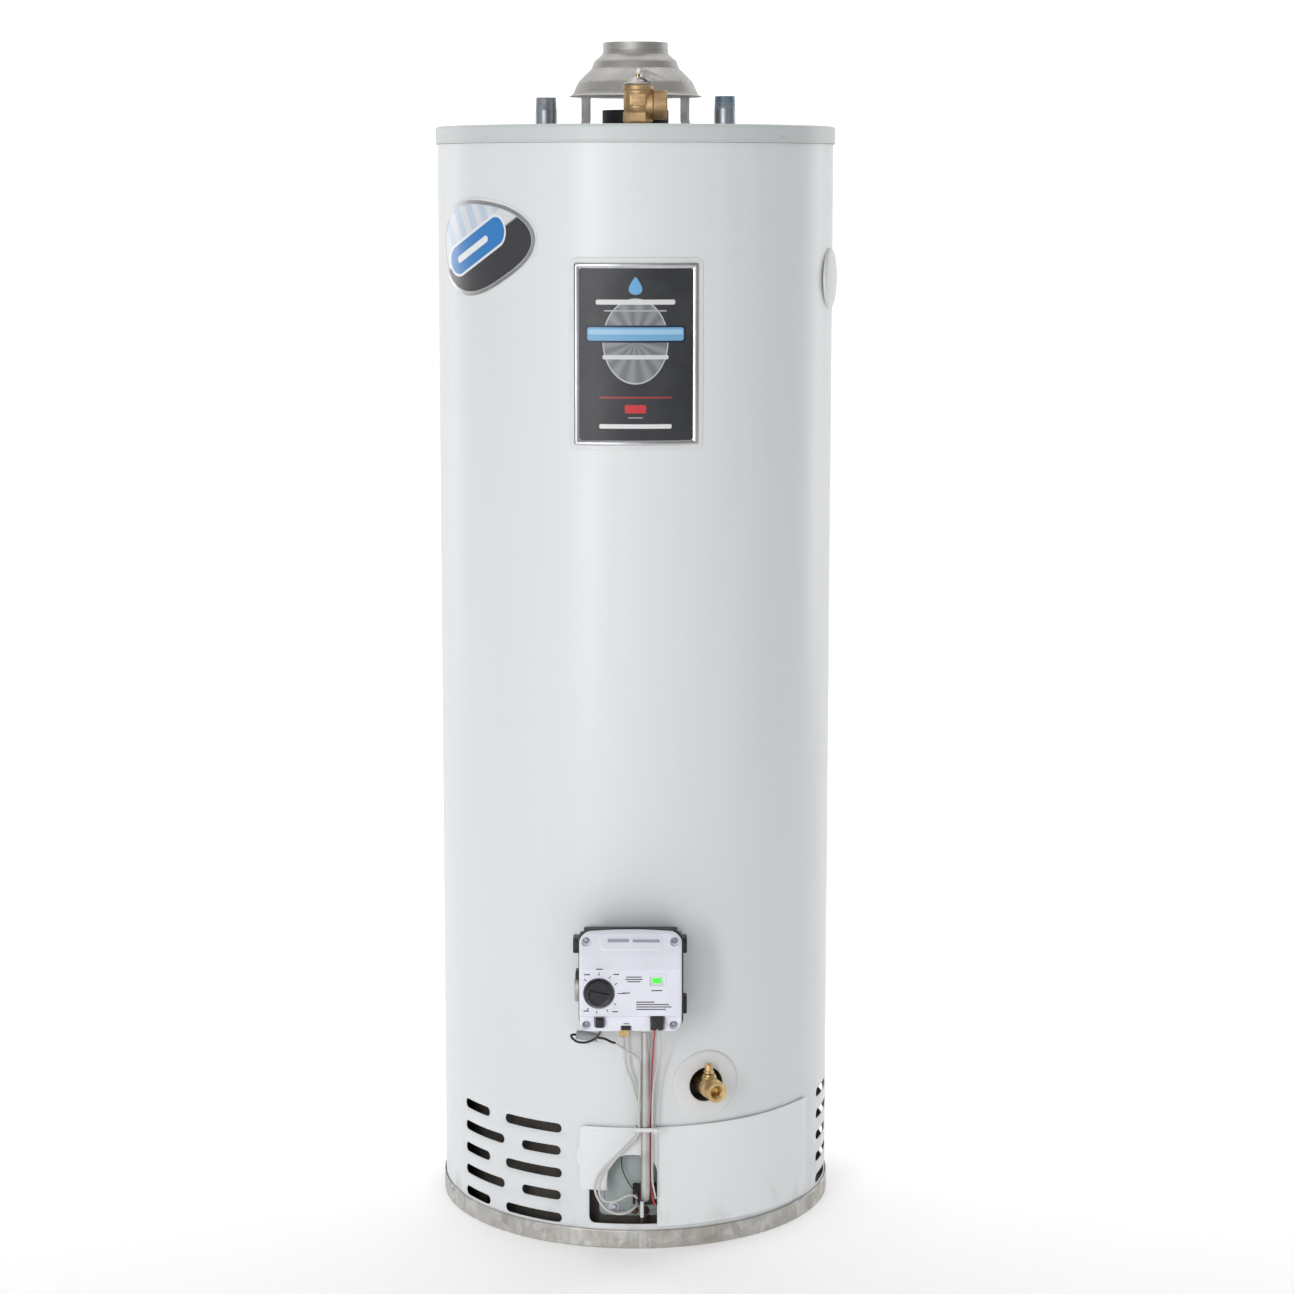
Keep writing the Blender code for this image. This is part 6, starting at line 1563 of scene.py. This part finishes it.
def makeLines():
    feedX, feedY, feedZ, bend = 0.0124, -0.268, 0.0665, 0.018
    turns = np.radians([90 * k / 6 for k in range(6)])
    elbow = [(feedX, feedY + bend * (1 - math.cos(a)), feedZ + bend * (1 - math.sin(a))) for a in turns]
    tube("feedPipe", [(feedX, feedY, 0.2990), (feedX, feedY, 0.230), (feedX, feedY, 0.160), (feedX, feedY, 0.1050),
                      *elbow,
                      *entry(feedX, feedZ), (0.0122, -0.185, 0.0600), (0.0115, -0.150, 0.0470),
                      (0.0060, -0.080, 0.0405),
                      (0, -0.030, 0.0400), (0, -0.0090, 0.0400)], lines["feedRadius"], "tube", 32, 0.003,
                      stands=("feed_tube",))
    tube("pilotPipe", [
        (-0.0155, -0.2700, 0.2826), (-0.0120, -0.2680, 0.2440), (-0.0056, -0.2665, 0.2250), (0.0006, -0.2655, 0.2035),
        (0.0040, -0.2650, 0.1870), (0.0042, -0.2650, 0.1620), (-0.0020, -0.2655, 0.1490), (-0.0230, -0.2660, 0.1265),
        (-0.0430, -0.2650, 0.1050), (-0.0510, -0.2645, 0.0860), (-0.0466, -0.2655, 0.0690),
        (-0.0354, -0.2680, 0.0557),
        (-0.0205, -0.2690, 0.0510), (-0.0080, -0.2650, 0.0530), (0.0000, -0.2570, 0.0565), *entry(0.0015, 0.0575),
        (-0.0030, -0.170, 0.0560), (0, -0.1260, 0.0480), *upright(0, 0.0592)], 0.0017, "lead", 14, 0.003,
        slot="aluminium", stands=("pilot_tube",))
    tube("igniterCable", [
        (-0.0238, -0.2760, 0.2738), (-0.0180, -0.2760, 0.2690), (-0.0080, -0.2750, 0.2620), (0.0010, -0.2730, 0.2558),
        (0.0050, -0.2715, 0.2430), (0.0043, -0.2715, 0.1927), (0.0043, -0.2715, 0.1620), (0.0000, -0.2715, 0.1510),
        (-0.0168, -0.2720, 0.1334), (-0.0342, -0.2720, 0.1106), (-0.0446, -0.2720, 0.0917),
        (-0.0446, -0.2720, 0.0765),
        (-0.0360, -0.2720, 0.0680), (-0.0230, -0.2710, 0.0690), (-0.0100, -0.2690, 0.0750),
        (-0.0015, -0.2640, 0.0730),
        (0.0015, -0.2560, 0.0670), *entry(0.0015, 0.0655), (-0.0090, -0.175, 0.0560), (-0.0120, -0.1280, 0.0460),
        *upright(-0.0120, 0.0543)], 0.0015, "lead", 14, 0.003, stands=("igniter_lead",))
    tube("redLead", [
        (0.0233, -0.3270, 0.3096), (0.0233, -0.3230, 0.2980), (0.0228, -0.2960, 0.2840), (0.0218, -0.2740, 0.2600),
        (0.0204, -0.2700, 0.2350), (0.0200, -0.2690, 0.2066), (0.0196, -0.2650, 0.1850), (0.0190, -0.2635, 0.1600),
        (0.0190, -0.2635, 0.1100), (0.0195, -0.2640, 0.0900), (0.0205, -0.2650, 0.0740), (0.0240, -0.2640, 0.0620),
        (0.0250, -0.2560, 0.0575), *entry(0.0235, 0.0575), (0.0215, -0.180, 0.0530), (0.0190, -0.1280, 0.0410),
        *upright(0.0185, 0.0497)], 0.0011, "red", 12, 0.003, slot="red_insulation", stands=("thermopile_lead_red",))
    tube("whiteLead", [
        (0.0302, -0.3270, 0.3096), (0.0302, -0.3230, 0.2990), (0.0310, -0.2980, 0.2820), (0.0310, -0.2780, 0.2600),
        (0.0250, -0.2750, 0.2343), (0.0222, -0.2735, 0.2129), (0.0212, -0.2720, 0.1877), (0.0210, -0.2700, 0.1500),
        (0.0210, -0.2700, 0.1000), (0.0225, -0.2690, 0.0860), (0.0245, -0.2660, 0.0740), (0.0258, -0.2600, 0.0690),
        (0.0255, -0.2540, 0.0660), *entry(0.0235, 0.0655), (0.0250, -0.180, 0.0600), (0.0240, -0.1280, 0.0410),
        *upright(0.0215, 0.0497)], 0.0012, "lead", 12, 0.003, stands=("thermopile_lead_white",))
    tube("blackLead", [
        (-0.0432, -0.3100, 0.3004), (-0.0445, -0.2980, 0.2930), (-0.0500, -0.2850, 0.2830),
        (-0.0600, -0.2790, 0.2765),
        (-0.0710, -0.2785, 0.2765), (-0.0775, -0.2770, 0.2800), (-0.0800, -0.2720, 0.2818),
        (-0.0800, -0.2670, 0.2820),
        (-0.0765, -0.2640, 0.2818), (-0.0700, -0.2636, 0.2812), (-0.0600, -0.2636, 0.2797),
        (-0.0463, -0.2640, 0.2778),
        (-0.0383, -0.2665, 0.2770), (-0.0300, -0.2735, 0.2752), (-0.0250, -0.2758, 0.2745)], 0.0015, "black", 14,
        0.002, stands=("igniter_wire_black",))
    tube("greySleeve", [(-0.0740, -0.2636, 0.2817), (-0.0600, -0.2636, 0.2797), (-0.0470, -0.2639, 0.2779)], 0.0056,
         "sleeve", 28,
         0.002, stands=("lead_sleeve",))

    # band of the tie: an oval outline carried up its height, and a head on its right
    outline = softCorners([(-0.0010, -0.2767, 0.006), (0.0250, -0.2767, 0.006), (0.0250, -0.2600, 0.006),
                           (-0.0010, -0.2600, 0.006)], True, 10)
    rings = []
    for grow, z in ((0, 0.1600), (0, 0.1645), (-0.0003, 0.1648), (-0.0012, 0.1645), (-0.0012, 0.1600),
                    (-0.0003, 0.1597)):
        ring = insetLoop(outline, -grow)
        rings.append(np.column_stack([ring, np.full(len(ring), z)]))
    parts = [shellPoints(np.array(rings), True), roundBox((0.0222, -0.2802, 0.1588), (0.0284, -0.2743, 0.1657),
        0.0008),
             roundBox((0.0276, -0.2786, 0.1606), (0.0330, -0.2772, 0.1642), 0.0004)]
    meshPiece("tieBand", *joined(parts), "white", 40, closed=False, stands=("cable_tie",))

    # coupler and thin sensor wire by the entry
    lathe("couplerSleeve", [(0.0010, 0.0380), (0.0026, 0.0380, 0.0004), (0.0026, 0.0590, 0.0004), (0.0010, 0.0590)],
          "white", sides=32,
          origin=(0.0083, -0.2450, 0))
    lathe("couplerPin", [(0.0003, 0.0270), (0.0012, 0.0272, 0.0003), (0.0014, 0.0300), (0.0022, 0.0305, 0.0003),
                         (0.0022, 0.0385), (0.0003, 0.0385)],
          "rust", sides=24, origin=(0.0083, -0.2450, 0))
    tube("sensorWire", [(-0.0170, -0.2362, 0.1240), (-0.0178, -0.2385, 0.1130), (-0.0172, -0.2420, 0.1040),
                        (-0.0140, -0.2440, 0.0930),
                        (-0.0060, -0.2455, 0.0790), (0.0030, -0.2455, 0.0670), (0.0080, -0.2450, 0.0580)], 0.0007,
                        "rust", 10, 0.002,
         slot="brass")


makeLines()


# carried-over nodes take a finished material

keptNodes = {
    "insulation": "foam", "inner_door_gasket": "foam", "tank_shell": "tank", "tank_top_head": "tank",
    "tank_bottom_head": "tank",
    "flue_baffle": "tank", "combustion_pan": "tank", "anode_rod": "screw", "dip_tube": "white",
    "flame_arrestor": "ceramic",
    "igniter_electrode": "ceramic", "burner": "stainless", "pilot_burner": "stainless", "thermopile": "stainless",
    "dial_stem": "stainless", "drain_ball": "stainless", "relief_spring": "stainless", "gas_orifice": "brass",
    "thermowell": "brass", "relief_stem": "brass", "feed_grommet": "rubber",
}
for name, look in keptNodes.items():
    material = looks[look]
    node = cadNodes[name]
    if node.material_slots:
        for slot in node.material_slots:
            slot.material = material
    else:
        node.data.materials.append(material)
